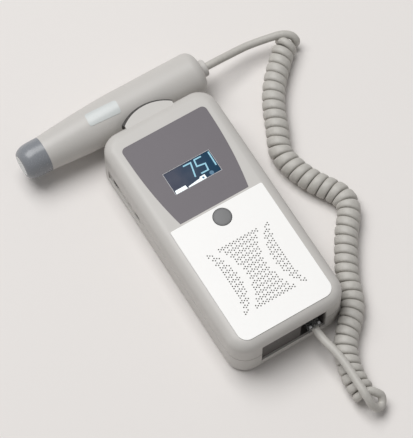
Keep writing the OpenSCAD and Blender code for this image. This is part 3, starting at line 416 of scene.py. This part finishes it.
FINISHES = {
    "body_plastic": body_plastic,
    "white_plastic": white_plastic,
    "panel_plastic": panel_plastic,
    "button_plastic": button_plastic,
    "tip_plastic": tip_plastic,
    "face_plastic": face_plastic,
    "cord_jacket": cord_jacket,
    "label_film": label_film,
    "clear_plastic": clear_plastic,
    "window_clear": window_clear,
    "circuit_board": circuit_board,
    "cell_can": cell_can,
    "figures": lambda colours: lit("figures", colours.figures, 0.8, 0.85),
    "marks": lambda colours: lit("marks", colours.marks, 0.85, 0.97),
    "spot": lambda colours: lit("spot", colours.spot, 0.7, 0.7),
    "trim": plain("trim", (184, 184, 188), 0.3),
    "glint_paint": plain("glint_paint", (214, 215, 216), 0.25),
    "saddle_shade_paint": plain("saddle_shade_paint", (58, 55, 53), 0.6),
    "speaker_paper": lambda colours: fabric("speaker_paper", linear(46, 45, 44)),
    "lcd_glass": plain("lcd_glass", (52, 60, 74), 0.12),
    "black_plastic": plain("black_plastic", (44, 43, 42), 0.45),
    "dark_plastic": plain("dark_plastic", (82, 78, 76), 0.45),
    "red_plastic": plain("red_plastic", (176, 44, 36), 0.4),
    "crystal": plain("crystal", (190, 176, 138), 0.6),
    "backing": plain("backing", (80, 70, 60), 0.8),
    "screw_steel": plated("screw_steel", (186, 188, 192), 0.35),
    "speaker_steel": plated("speaker_steel", (150, 150, 154), 0.4),
    "spring_steel": plated("spring_steel", (200, 202, 204), 0.28),
    "contact_brass": plated("contact_brass", (222, 186, 110), 0.25),
}


def finish_of(name):
    """The material of that name, made when it is first asked for."""
    made = bpy.data.materials.get("finish_" + name)
    if made is None:
        made = FINISHES[name](bpy.context.scene.monitor_colours).material
        made.name = "finish_" + name
    return made


# ---------------------------------------------------------------- pieces


def slot_of(node):
    """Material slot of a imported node."""
    for row in frame["record"]["subparts"]:
        if row["node"] == node:
            return row["material_slot"]
    raise ValueError("no such node: " + node)


def body_of(node):
    """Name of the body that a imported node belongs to."""
    for name, nodes in frame["record"]["behaviour"]["bodies"].items():
        if node in nodes:
            return name
    raise ValueError("no body holds " + node)


def link(name, mesh, material, smooth=30.0):
    """Object with a mesh, shaded smooth between its sharp edges."""
    mesh.materials.clear()
    mesh.materials.append(material)
    mesh.shade_smooth()
    mesh.set_sharp_from_angle(angle=math.radians(smooth))
    piece = bpy.data.objects.new(name, mesh)
    bpy.context.scene.collection.objects.link(piece)
    return piece


def finished(name, bm, slot, body, material=None):
    """Turns a bmesh into a piece that rides on a body, with its slot's finish or another one."""
    bmesh.ops.recalc_face_normals(bm, faces=bm.faces)
    mesh = bpy.data.meshes.new(name)
    bm.to_mesh(mesh)
    bm.free()
    piece = link(name, mesh, finish_of(material or slot))
    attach(piece, body)
    return piece


def dressed(node):
    """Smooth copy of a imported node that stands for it."""
    bm = bmesh.new()
    bm.from_mesh(frame["nodes"][node].data)
    bmesh.ops.remove_doubles(bm, verts=bm.verts, dist=WELD)
    mesh = bpy.data.meshes.new(node + "_skin")
    bm.to_mesh(mesh)
    bm.free()
    if "custom_normal" in mesh.attributes:
        mesh.attributes.remove(mesh.attributes["custom_normal"])
    piece = link(node + "_skin", mesh, finish_of(slot_of(node)))
    weighted = piece.modifiers.new("weighted", "WEIGHTED_NORMAL")
    weighted.keep_sharp = True
    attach(piece, body_of(node))
    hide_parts(node)
    return piece


def painted(node):
    """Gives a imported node, whose shape is right, its finish."""
    for place in frame["nodes"][node].material_slots:
        place.material = finish_of(slot_of(node))


def raised(bm, faces, height):
    """Extrudes flat faces upwards into a closed plate."""
    top = bmesh.ops.extrude_face_region(bm, geom=faces)["geom"]
    verts = [item for item in top if isinstance(item, bmesh.types.BMVert)]
    bmesh.ops.translate(bm, vec=UP * height, verts=verts)


def block(size, middle, rounding):
    """Box of a size around a middle, with rounded edges."""
    bm = bmesh.new()
    bmesh.ops.create_cube(bm, size=1.0)
    bmesh.ops.scale(bm, vec=size, verts=bm.verts)
    bmesh.ops.translate(bm, vec=middle, verts=bm.verts)
    bmesh.ops.bevel(
        bm, geom=bm.edges[:], offset=rounding, segments=3, profile=0.5, affect="EDGES", material=-1
    )
    return bm


def stroke_along(bm, route, width, z):
    """Flat line of one width through points at one height, with mitred bends."""
    points = [Vector((x, y, z)) for x, y in route]

    def half_width_at(k):
        """Vector from a point to the line's left edge."""
        before = (points[k] - points[max(k - 1, 0)]).normalized()
        after = (points[min(k + 1, len(points) - 1)] - points[k]).normalized()
        ahead = (before + after).normalized()
        lean = max(SHARPEST_MITRE, ahead.dot(after if after.length else before))
        return UP.cross(ahead) * width / 2 / lean

    left = bm.verts.new(points[0] + half_width_at(0))
    right = bm.verts.new(points[0] - half_width_at(0))
    edge = bm.edges.new((left, right))
    faces = []
    for k in range(1, len(points)):
        grown = bmesh.ops.extrude_edge_only(bm, edges=[edge])["geom"]
        verts = [item for item in grown if isinstance(item, bmesh.types.BMVert)]
        edge = next(item for item in grown if isinstance(item, bmesh.types.BMEdge))
        faces += [item for item in grown if isinstance(item, bmesh.types.BMFace)]
        left, right = sorted(verts, key=lambda vert: (vert.co - left.co).length)
        left.co = points[k] + half_width_at(k)
        right.co = points[k] - half_width_at(k)
    return faces


# ---------------------------------------------------------------- cord

# the cord's route in millimetres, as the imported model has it: the lead at the probe,
# the middle line of the curly part and the lead at the plug
PROBE_LEAD = [
    (46, 92.6, 17), (50, 92.6, 17), (56, 93, 16), (62, 93.5, 14.6),
    (68, 93.9, 13.4), (74, 94, 12.6), (80, 93.4, 12.3), (86, 92.4, 12.3),
    (91, 91.4, 12.4), (95, 90.4, 12.5), (98.4, 89, 12.3), (101.4, 86.9, 11.2),
    (103, 84.7, 8.8), (102.9, 83.9, 6), (101.3, 84.6, 3.4), (98.8, 86.2, 2.5),
    (96.4, 88, 3.6), (95, 89.2, 5.8),
]
COIL = [
    (95.4, 83.9), (91.9, 81.2), (88.6, 78.1), (83.6, 73.2), (79, 68.4), (74.8, 63.3),
    (71.2, 57.8), (68, 52), (65.3, 46), (62.6, 40), (59.8, 34.4), (57.4, 29),
    (56.6, 23.6), (57.3, 17.6), (59, 11), (61.4, 4.6), (64.6, -1.6), (68.2, -7.6),
    (71.2, -13.4), (72.2, -19.8), (69.6, -26.2), (65.4, -31.4), (61, -36.8), (56.8, -43.2),
    (52.8, -49.6), (49, -56.2), (45.8, -63), (42.9, -71), (38.8, -77.9), (32.6, -84.3),
    (26.5, -90.5), (22.2, -97.5), (19.4, -104.7), (17.8, -112.2), (17.5, -118.3), (17.7, -123.9),
]
PLUG_LEAD = [
    (13.2, -78.5, 15.5), (13.2, -82, 15.5), (13.8, -88, 15.8), (14.8, -94, 16.6),
    (15.5, -100, 17), (15.9, -106, 17.1), (15.9, -112, 17.1), (15.7, -118, 17.1),
    (15.7, -124, 17), (15.9, -128.2, 15.2), (16.7, -131.7, 11.8), (18.6, -133.6, 8.4),
    (21.6, -133.6, 6.4), (24, -131.6, 6.4), (24.8, -128.9, 8.4), (23.2, -127, 10.4),
]
COIL_Z = 7.1

# where the cord starts inside the collar, leaves its last turn and ends inside the plug
COLLAR_INSIDE = (44.5, 92.6, 17)
COIL_EXIT = (20.7, -124.8, 11.8)
PLUG_INSIDE = (13.2, -77.4, 15.5)

# the winding starts a little before the middle line does, at this share of a turn
COIL_LEAD_IN = 2.1
COIL_START_TURN = 290 / 360

# the turns at either end that stay round, and the pressed section between them: the power
# of its outline, which is 2 on an ellipse, and the share by which it gets thinner
ROUND_TURNS = 0.7
SECTION_SQUARENESS = 3.2
SECTION_THINNING = 0.06

# how finely the cord is drawn: steps between two points of its route, steps in a turn, steps
# into the turns that set how a lead meets them, sides of the section, and the angle in degrees
# under which its faces are shaded smooth
ROUTE_STEPS = 6
TURN_STEPS = 24
JOINT_STEPS = 4
SECTION_SIDES = 16
CORD_SMOOTH = 60.0


def eased(points, steps):
    """Points on a smooth curve through the given ones."""
    ends = [2 * points[0] - points[1], *points, 2 * points[-1] - points[-2]]
    curve = []
    for a, b, c, d in zip(ends, ends[1:], ends[2:], ends[3:]):
        for k in range(steps):
            t = k / steps
            curve.append(
                b
                + (c - a) * (t / 2)
                + (a - 2.5 * b + 2 * c - d / 2) * t * t
                + (1.5 * b - a / 2 - 1.5 * c + d / 2) * t ** 3
            )
    return [*curve, points[-1]]


def at_distance(line, marks, distance):
    """Point on a line at a distance along it, carried straight on past its ends."""
    k = 1
    while k < len(line) - 1 and marks[k] < distance:
        k += 1
    share = (distance - marks[k - 1]) / (marks[k] - marks[k - 1])
    return line[k - 1].lerp(line[k], share)


def coil_turns(sizes):
    """Points of the curly part, wound to the left, and their directions away from its middle line."""
    line = eased([Vector((x, y, COIL_Z)) * MM for x, y in COIL], ROUTE_STEPS)
    marks = [0.0]
    for a, b in zip(line, line[1:]):
        marks.append(marks[-1] + (b - a).length)
    lead_in = COIL_LEAD_IN * MM
    run = marks[-1] + lead_in
    mean_pitch = (sizes.first_pitch + sizes.last_pitch) / 2
    turns = round(run / mean_pitch + COIL_START_TURN) - COIL_START_TURN
    count = round(turns * TURN_STEPS)
    spread = (sizes.first_pitch - sizes.last_pitch) / (2 * mean_pitch)
    reach = 3 * MM
    points, outwards = [], []
    for k in range(count + 1):
        share = k / count
        distance = run * share * (1 + spread * (1 - share)) - lead_in
        centre = at_distance(line, marks, distance)
        ahead = at_distance(line, marks, distance + reach) - at_distance(line, marks, distance - reach)
        left = UP.cross(ahead.normalized())
        angle = math.tau * (COIL_START_TURN + turns * share)
        outwards.append(math.cos(angle) * UP + math.sin(angle) * left)
        points.append(centre + sizes.coil_radius * outwards[-1])
    return points, outwards


def pressed(turns, sizes):
    """Share from round to pressed flat, and half the space of one turn, for each point of the turns."""
    last = len(turns) - 1
    shares, halves = [], []
    for k in range(last + 1):
        before, after = max(k - TURN_STEPS, 0), min(k + TURN_STEPS, last)
        space = (turns[after] - turns[before]).length / max(1, after - before) * TURN_STEPS
        inside = min(k, last - k) / TURN_STEPS
        shares.append(min(1.0, max(0.0, inside - ROUND_TURNS)))
        halves.append(space / 2 - sizes.turn_gap)
    return shares, halves


def cord_path(sizes):
    """The cord's middle line from the probe to the plug, and three lists with a value for each of
    its points: the outward direction, the share from round to pressed flat, and half the space of
    one turn.
    """
    probe_lead = [Vector(p) * MM for p in [COLLAR_INSIDE, *PROBE_LEAD[1:]]]
    plug_lead = [Vector(p) * MM for p in [COIL_EXIT, *reversed(PLUG_LEAD[1:]), PLUG_INSIDE]]
    turns, outwards = coil_turns(sizes)
    shares, halves = pressed(turns, sizes)
    # each lead's curve runs on to a second point of the turns, and that last stretch is left off
    shared = ROUTE_STEPS + 1
    start = eased([*probe_lead, turns[0], turns[JOINT_STEPS]], ROUTE_STEPS)[:-shared]
    end = eased([turns[-1 - JOINT_STEPS], turns[-1], *plug_lead], ROUTE_STEPS)[shared:]
    path = [*start, *turns, *end]
    outwards = [outwards[0]] * len(start) + outwards + [outwards[-1]] * len(end)
    for k in [*range(len(start) - 1, -1, -1), *range(len(path) - len(end), len(path))]:
        nearer = outwards[k + 1] if k < len(start) else outwards[k - 1]
        ahead = (path[min(k + 1, len(path) - 1)] - path[max(k - 1, 0)]).normalized()
        outwards[k] = (nearer - nearer.dot(ahead) * ahead).normalized()
    shares = [0.0] * len(start) + shares + [0.0] * len(end)
    halves = [0.0] * len(start) + halves + [0.0] * len(end)
    return path, outwards, shares, halves


def swept_cord(sizes):
    """Mesh of the cord: round in its leads, pressed between its turns in the curly part."""
    path, outwards, shares, halves = cord_path(sizes)
    radius = sizes.cord_diameter / 2
    bm = bmesh.new()
    rings = []
    for k, point in enumerate(path):
        ahead = (path[min(k + 1, len(path) - 1)] - path[max(k - 1, 0)]).normalized()
        along = ahead.cross(outwards[k]).normalized()
        away = along.cross(ahead)
        half = radius + shares[k] * (halves[k] - radius)
        depth = radius * (1 - SECTION_THINNING * shares[k])
        power = 2 / (2 + shares[k] * (SECTION_SQUARENESS - 2))
        ring = []
        for i in range(SECTION_SIDES):
            angle = math.tau * i / SECTION_SIDES
            c, s = math.cos(angle), math.sin(angle)
            out = away * depth * math.copysign(abs(c) ** power, c)
            side = along * half * math.copysign(abs(s) ** power, s)
            ring.append(bm.verts.new(point + out + side))
        rings.append(ring)
    for one, other in zip(rings, rings[1:]):
        for i in range(SECTION_SIDES):
            j = (i + 1) % SECTION_SIDES
            bm.faces.new((one[i], one[j], other[j], other[i]))
    bm.faces.new(rings[0])
    bm.faces.new(rings[-1])
    return bm, path


class MONITOR_OT_camera(bpy.types.Operator):
    """Sets the camera at the angle from which the monitor is seen"""

    bl_idname = "monitor.camera"
    bl_label = "Camera"

    AZIMUTH = math.radians(-31.26)
    ELEVATION = math.radians(65.75)
    AIM = Vector((-0.61, 15.157, 1.541)) * MM
    DISTANCE = 1.37705
    FOCAL_LENGTH = 197.26
    FARTHEST = 50.0

    def execute(self, context):
        level = math.cos(self.ELEVATION)
        back = Vector((
            math.sin(self.AZIMUTH) * level,
            -math.cos(self.AZIMUTH) * level,
            math.sin(self.ELEVATION),
        ))
        lens = bpy.data.cameras.new("camera")
        lens.lens = self.FOCAL_LENGTH
        lens.clip_end = self.FARTHEST
        camera = bpy.data.objects.new("camera", lens)
        camera.location = self.AIM + back * self.DISTANCE
        camera.rotation_mode = "QUATERNION"
        camera.rotation_quaternion = (-back).to_track_quat("-Z", "Y")
        context.scene.collection.objects.link(camera)
        context.scene.camera = camera
        return {"FINISHED"}


class MONITOR_OT_cord(bpy.types.Operator):
    """Winds the cord from the probe to its plug"""

    bl_idname = "monitor.cord"
    bl_label = "Cord and Plug"

    GLINT_RIM = 0.3 * MM
    GLINT_LENGTH = 1.3 * MM
    GLINT_HEIGHT = 1.5 * MM
    GLINT_ROUNDING = 0.3 * MM

    def execute(self, context):
        sizes = context.scene.monitor_sizes
        bm, path = swept_cord(sizes)
        bmesh.ops.recalc_face_normals(bm, faces=bm.faces)
        mesh = bpy.data.meshes.new("cord")
        bm.to_mesh(mesh)
        bm.free()
        cord = link("cord", mesh, finish_of("cord_jacket"), CORD_SMOOTH)
        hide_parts("cord_probe_lead", "cord_coil", "cord_plug_lead")
        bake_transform(cord)
        plug = [dressed("modular_plug"), dressed("plug_latch"), *self.painted_glints()]
        painted("plug_contacts")
        return {"FINISHED"}

    def painted_glints(self):
        """Pale blocks of painted highlight on the plug's back, one on each side of the latch."""
        low, high = (Vector(corner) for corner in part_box("modular_plug"))
        latch_low, latch_high = (Vector(corner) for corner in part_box("plug_latch"))
        rim = self.GLINT_RIM
        spans = {"left": (low.x + rim, latch_low.x - rim), "right": (latch_high.x + rim, high.x - rim)}
        pieces = []
        for side, (start, end) in spans.items():
            size = Vector((end - start, self.GLINT_LENGTH, self.GLINT_HEIGHT))
            middle = Vector(((start + end) / 2, low.y + size.y / 2, high.z))
            bm = block(size, middle, self.GLINT_ROUNDING)
            name = "plug_glint_block_" + side
            # painted highlight: pale blocks standing for the glint along the plug's back top edge
            pieces.append(finished(name, bm, "clear_plastic", "monitor", "glint_paint"))
        return pieces


class MONITOR_OT_shells(bpy.types.Operator):
    """Dresses the monitor's two shells, the battery door and the screws"""

    bl_idname = "monitor.shells"
    bl_label = "Shells"

    def execute(self, context):
        for node in ("front_shell", "rear_shell", "battery_door"):
            dressed(node)
        painted("shell_screws")
        return {"FINISHED"}


class MONITOR_OT_front(bpy.types.Operator):
    """Dresses the white plate, the grey panel and the button"""

    bl_idname = "monitor.front"
    bl_label = "Plate, Panel and Button"

    def execute(self, context):
        for node in ("speaker_plate", "display_panel", "power_button"):
            dressed(node)
        return {"FINISHED"}


class MONITOR_OT_display(bpy.types.Operator):
    """Builds the display's ground, its figures and the trim around the window"""

    bl_idname = "monitor.display"
    bl_label = "Display"

    # places on the display, in millimetres to the right and down from its upper left corner
    FIGURES = [
        [(12.6, 1.7), (17.5, 1.9), (15.4, 10.9)],
        [(24.6, 1.5), (20.1, 1.4), (19.4, 5.7), (24.5, 6.5), (23.9, 10.8), (19.3, 10.7)],
        [(29.5, 1.1), (29.3, 10.5)],
    ]
    MARKS = [
        [(0.9, 12.5), (7.8, 12.4), (8.1, 14.7), (0.7, 14.7)],
        [(8.9, 14.0), (17.0, 12.9), (17.3, 12.1), (20.6, 12.1), (20.6, 14.7), (8.9, 14.7)],
    ]
    # dim spots: place, radius, number of sides and lift above the ground
    SPOTS = (((24.6, 13.3), 1.3, 24, 0), ((19.0, 13.5), 0.9, 4, 0.05))
    SPOT_HEIGHT = 0.03 * MM
    MARK_ROUNDING = 0.3 * MM
    GROUND_DROP = 0.1 * MM
    GROUND_ROUNDING = 0.1 * MM
    CORNER_MARGIN = 0.2 * MM
    TRIM_GROW = 0.16 * MM
    TRIM_DROP = 0.35 * MM
    TRIM_HEIGHT = 0.45 * MM

    def execute(self, context):
        sizes = context.scene.monitor_sizes
        low, high = (Vector(corner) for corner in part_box("display_window"))
        ground_z = high.z - self.GROUND_DROP
        left, top = low.x - self.CORNER_MARGIN, high.y + self.CORNER_MARGIN

        def place(u, v):
            return left + u * MM, top - v * MM

        self.add_ground(low, high, sizes.trim - self.TRIM_GROW)

        bm = bmesh.new()
        for figure in self.FIGURES:
            faces = stroke_along(bm, [place(u, v) for u, v in figure], sizes.stroke, ground_z)
            raised(bm, faces, sizes.figure_height)
        finished("display_figures", bm, "window_clear", "monitor", "figures")

        for k, corners in enumerate(self.MARKS):
            bm = bmesh.new()
            face = bm.faces.new([bm.verts.new((*place(u, v), ground_z)) for u, v in corners])
            bmesh.ops.bevel(
                bm, geom=list(face.verts), offset=self.MARK_ROUNDING, segments=4, profile=0.5,
                affect="VERTICES", material=-1,
            )
            raised(bm, bm.faces[:], sizes.figure_height)
            finished(f"display_mark_{k + 1}", bm, "window_clear", "monitor", "marks")

        bm = bmesh.new()
        for (u, v), radius, sides, lift in self.SPOTS:
            made = bmesh.ops.create_circle(bm, cap_ends=True, radius=radius * MM, segments=sides)["verts"]
            bmesh.ops.translate(bm, vec=(*place(u, v), ground_z + lift * MM), verts=made)
            raised(bm, list({face for vert in made for face in vert.link_faces}), self.SPOT_HEIGHT)
        finished("display_spot", bm, "window_clear", "monitor", "spot")

        self.add_trim(low, high, sizes.trim)
        return {"FINISHED"}

    def add_ground(self, low, high, edge):
        """Dark block in the window, smaller by an edge and a little lower than the window."""
        drop = self.GROUND_DROP
        size = Vector((high.x - low.x - 2 * edge, high.y - low.y - 2 * edge, high.z - drop - low.z))
        bm = block(size, (low + high) / 2 - UP * drop / 2, self.GROUND_ROUNDING)
        ground = finished("display_ground", bm, "window_clear", "monitor")
        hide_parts("display_window")

    def add_trim(self, low, high, width):
        """Pale line in the gap between the window and the panel."""
        grow = 2 * self.TRIM_GROW
        middle = (low + high) / 2
        bm = bmesh.new()
        bmesh.ops.create_grid(bm, x_segments=1, y_segments=1, size=0.5)
        bmesh.ops.scale(bm, vec=(high.x - low.x + grow, high.y - low.y + grow, 1), verts=bm.verts)
        bmesh.ops.translate(bm, vec=(middle.x, middle.y, high.z - self.TRIM_DROP), verts=bm.verts)
        line = bmesh.ops.inset_region(bm, faces=bm.faces[:], thickness=width, use_boundary=True)["faces"]
        inside = [face for face in bm.faces if face not in line]
        bmesh.ops.delete(bm, geom=inside, context="FACES")
        raised(bm, bm.faces[:], self.TRIM_HEIGHT)
        finished("display_trim", bm, "panel_plastic", "monitor", "trim")


class MONITOR_OT_controls(bpy.types.Operator):
    """Dresses the controls in the left side"""

    bl_idname = "monitor.controls"
    bl_label = "Side Controls"

    def execute(self, context):
        for node in ("side_panel", "volume_wheel", "slide_knob", "audio_socket"):
            dressed(node)
        return {"FINISHED"}


class MONITOR_OT_lower_end(bpy.types.Operator):
    """Dresses the dark panel in the lower end and its socket"""

    bl_idname = "monitor.lower_end"
    bl_label = "Lower End"

    def execute(self, context):
        dressed("end_panel")
        dressed("probe_socket")
        return {"FINISHED"}


class MONITOR_OT_probe(bpy.types.Operator):
    """Dresses the probe"""

    bl_idname = "monitor.probe"
    bl_label = "Probe"

    def execute(self, context):
        for node in ("probe_upper_shell", "probe_lower_shell", "probe_tip_cap", "probe_face",
                     "probe_label", "probe_collar"):
            dressed(node)
        return {"FINISHED"}


class MONITOR_OT_saddle(bpy.types.Operator):
    """Adds a dark strip of painted shadow along the edge of the saddle's arch"""

    bl_idname = "monitor.saddle"
    bl_label = "Saddle Shadow Strip"

    # the arch's middle along X, half its width and its reach past the body, the painted shadow
    # strip's two heights, its thickness at either end, and how far it sinks into the arch
    ARCH_MIDDLE = -1.9 * MM
    ARCH_HALF = 15.6 * MM
    ARCH_REACH = 5.6 * MM
    LOW = 27.6 * MM
    HIGH = 31.9 * MM
    THIN = 1.0 * MM
    THICK = 1.9 * MM
    BITE = 0.05 * MM
    STEPS = 24

    def execute(self, context):
        radius = (self.ARCH_HALF ** 2 + self.ARCH_REACH ** 2) / (2 * self.ARCH_REACH)
        centre = Vector((self.ARCH_MIDDLE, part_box("front_shell")[1][1] - radius, self.LOW))
        half_angle = math.asin(self.ARCH_HALF / radius)
        bm = bmesh.new()
        rows = []
        for k in range(self.STEPS + 1):
            share = k / self.STEPS
            angle = half_angle * (2 * share - 1)
            away = Vector((-math.sin(angle), math.cos(angle), 0))
            reach = self.THIN + (self.THICK - self.THIN) * share ** 2
            ends = (centre + away * (radius - self.BITE), centre + away * (radius + reach))
            rows.append([bm.verts.new(point) for point in ends])
        for one, other in zip(rows, rows[1:]):
            bm.faces.new((one[0], one[1], other[1], other[0]))
        raised(bm, bm.faces[:], self.HIGH - self.LOW)
        # painted shadow: a dark strip standing for the shade in the gap between the arch and the probe
        finished("saddle_shadow_strip", bm, "black_plastic", "monitor", "saddle_shade_paint")
        return {"FINISHED"}


class MONITOR_OT_inside(bpy.types.Operator):
    """Gives the parts inside their finishes"""

    bl_idname = "monitor.inside"
    bl_label = "Inside"

    NODES = (
        "lcd_glass", "lcd_backlight", "lcd_frame", "speaker_cloth", "speaker_basket", "speaker_cone",
        "speaker_magnet", "button_switch", "switch_plunger", "main_board", "board_parts",
        "board_screws", "side_board", "volume_pot", "slide_switch", "socket_board",
        "socket_contacts", "battery_cells", "battery_springs", "battery_plates", "probe_crystals",
        "probe_backing", "probe_board",
    )

    def execute(self, context):
        for node in self.NODES:
            painted(node)
        return {"FINISHED"}


class MONITOR_OT_stage(bpy.types.Operator):
    """Adds the pale floor, the lamp and the world's light"""

    bl_idname = "monitor.stage"
    bl_label = "Stage"

    FLOOR_RADIUS = 4.0
    FLOOR_DROP = 0.05 * MM
    FILL = 0.25
    LAMP_PLACE = Vector((-0.4, 1.35, 3.4))
    LAMP_SIZE = 2.6
    LAMP_POWER = 119.0

    def execute(self, context):
        colours = context.scene.monitor_colours
        self.add_floor(colours)
        self.add_world(context.scene, colours)
        self.add_lamp(context.scene)
        context.scene.view_settings.view_transform = "Standard"
        return {"FINISHED"}

    def add_floor(self, colours):
        """Pale disc just under the monitor."""
        bm = bmesh.new()
        bmesh.ops.create_circle(bm, cap_ends=True, radius=self.FLOOR_RADIUS, segments=64)
        bmesh.ops.translate(bm, vec=UP * -self.FLOOR_DROP, verts=bm.verts)
        mesh = bpy.data.meshes.new("floor")
        bm.to_mesh(mesh)
        bm.free()
        ground = Finish("finish_floor", colours.floor, 0.7, Specular_IOR_Level=0.2)
        cloud = ground.noise(0.35)
        ground.tint(ground.mix(cloud, ground.shaded(0.985), ground.shaded(1.015)))
        link("floor", mesh, ground.material)

    def add_world(self, scene, colours):
        """White fill light, which the camera sees in the floor's colour."""
        world = bpy.data.worlds.new("world")
        scene.world = world
        world.use_nodes = True
        sky = Shading(world.node_tree)
        nodes = world.node_tree.nodes
        fill = nodes["Background"]
        sky.put(fill.inputs["Color"], (1.0, 1.0, 1.0, 1.0))
        sky.put(fill.inputs["Strength"], self.FILL)
        seen = sky.node("ShaderNodeBackground", sockets={"Color": (*colours.floor, 1.0)})
        camera_ray = sky.node("ShaderNodeLightPath", out="Is Camera Ray")
        ends = {0: camera_ray, 1: Wire(sky, fill.outputs[0]), 2: seen}
        sky.put(nodes["World Output"].inputs["Surface"], sky.node("ShaderNodeMixShader", sockets=ends))

    def add_lamp(self, scene):
        """Soft square lamp aimed at the monitor."""
        data = bpy.data.lights.new("key", "AREA")
        data.energy = self.LAMP_POWER
        data.size = self.LAMP_SIZE
        lamp = bpy.data.objects.new("key", data)
        lamp.location = self.LAMP_PLACE
        lamp.rotation_mode = "QUATERNION"
        lamp.rotation_quaternion = self.LAMP_PLACE.to_track_quat("Z", "Y")
        scene.collection.objects.link(lamp)


OPERATORS = (
    MONITOR_OT_camera,
    MONITOR_OT_cord,
    MONITOR_OT_shells,
    MONITOR_OT_front,
    MONITOR_OT_display,
    MONITOR_OT_controls,
    MONITOR_OT_lower_end,
    MONITOR_OT_probe,
    MONITOR_OT_saddle,
    MONITOR_OT_inside,
    MONITOR_OT_stage,
)


class MONITOR_PT_sidebar(bpy.types.Panel):
    """Lists the steps that dress the monitor"""

    bl_idname = "MONITOR_PT_sidebar"
    bl_label = "Heartbeat Monitor"
    bl_space_type = "VIEW_3D"
    bl_region_type = "UI"
    bl_category = "Monitor"

    def draw(self, context):
        for group in (context.scene.monitor_sizes, context.scene.monitor_colours):
            for name in group.__annotations__:
                self.layout.prop(group, name)
        for operator in OPERATORS:
            self.layout.operator(operator.bl_idname)


CLASSES = (MonitorSizes, MonitorColours, *OPERATORS, MONITOR_PT_sidebar)


def register():
    for item in CLASSES:
        bpy.utils.register_class(item)
    bpy.types.Scene.monitor_sizes = PointerProperty(type=MonitorSizes)
    bpy.types.Scene.monitor_colours = PointerProperty(type=MonitorColours)


def unregister():
    del bpy.types.Scene.monitor_colours
    del bpy.types.Scene.monitor_sizes
    for item in reversed(CLASSES):
        bpy.utils.unregister_class(item)


def main():
    """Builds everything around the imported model."""
    register()
    for operator in OPERATORS:
        getattr(bpy.ops.monitor, operator.bl_idname.split(".")[1])()


if __name__ == "__main__":
    main()
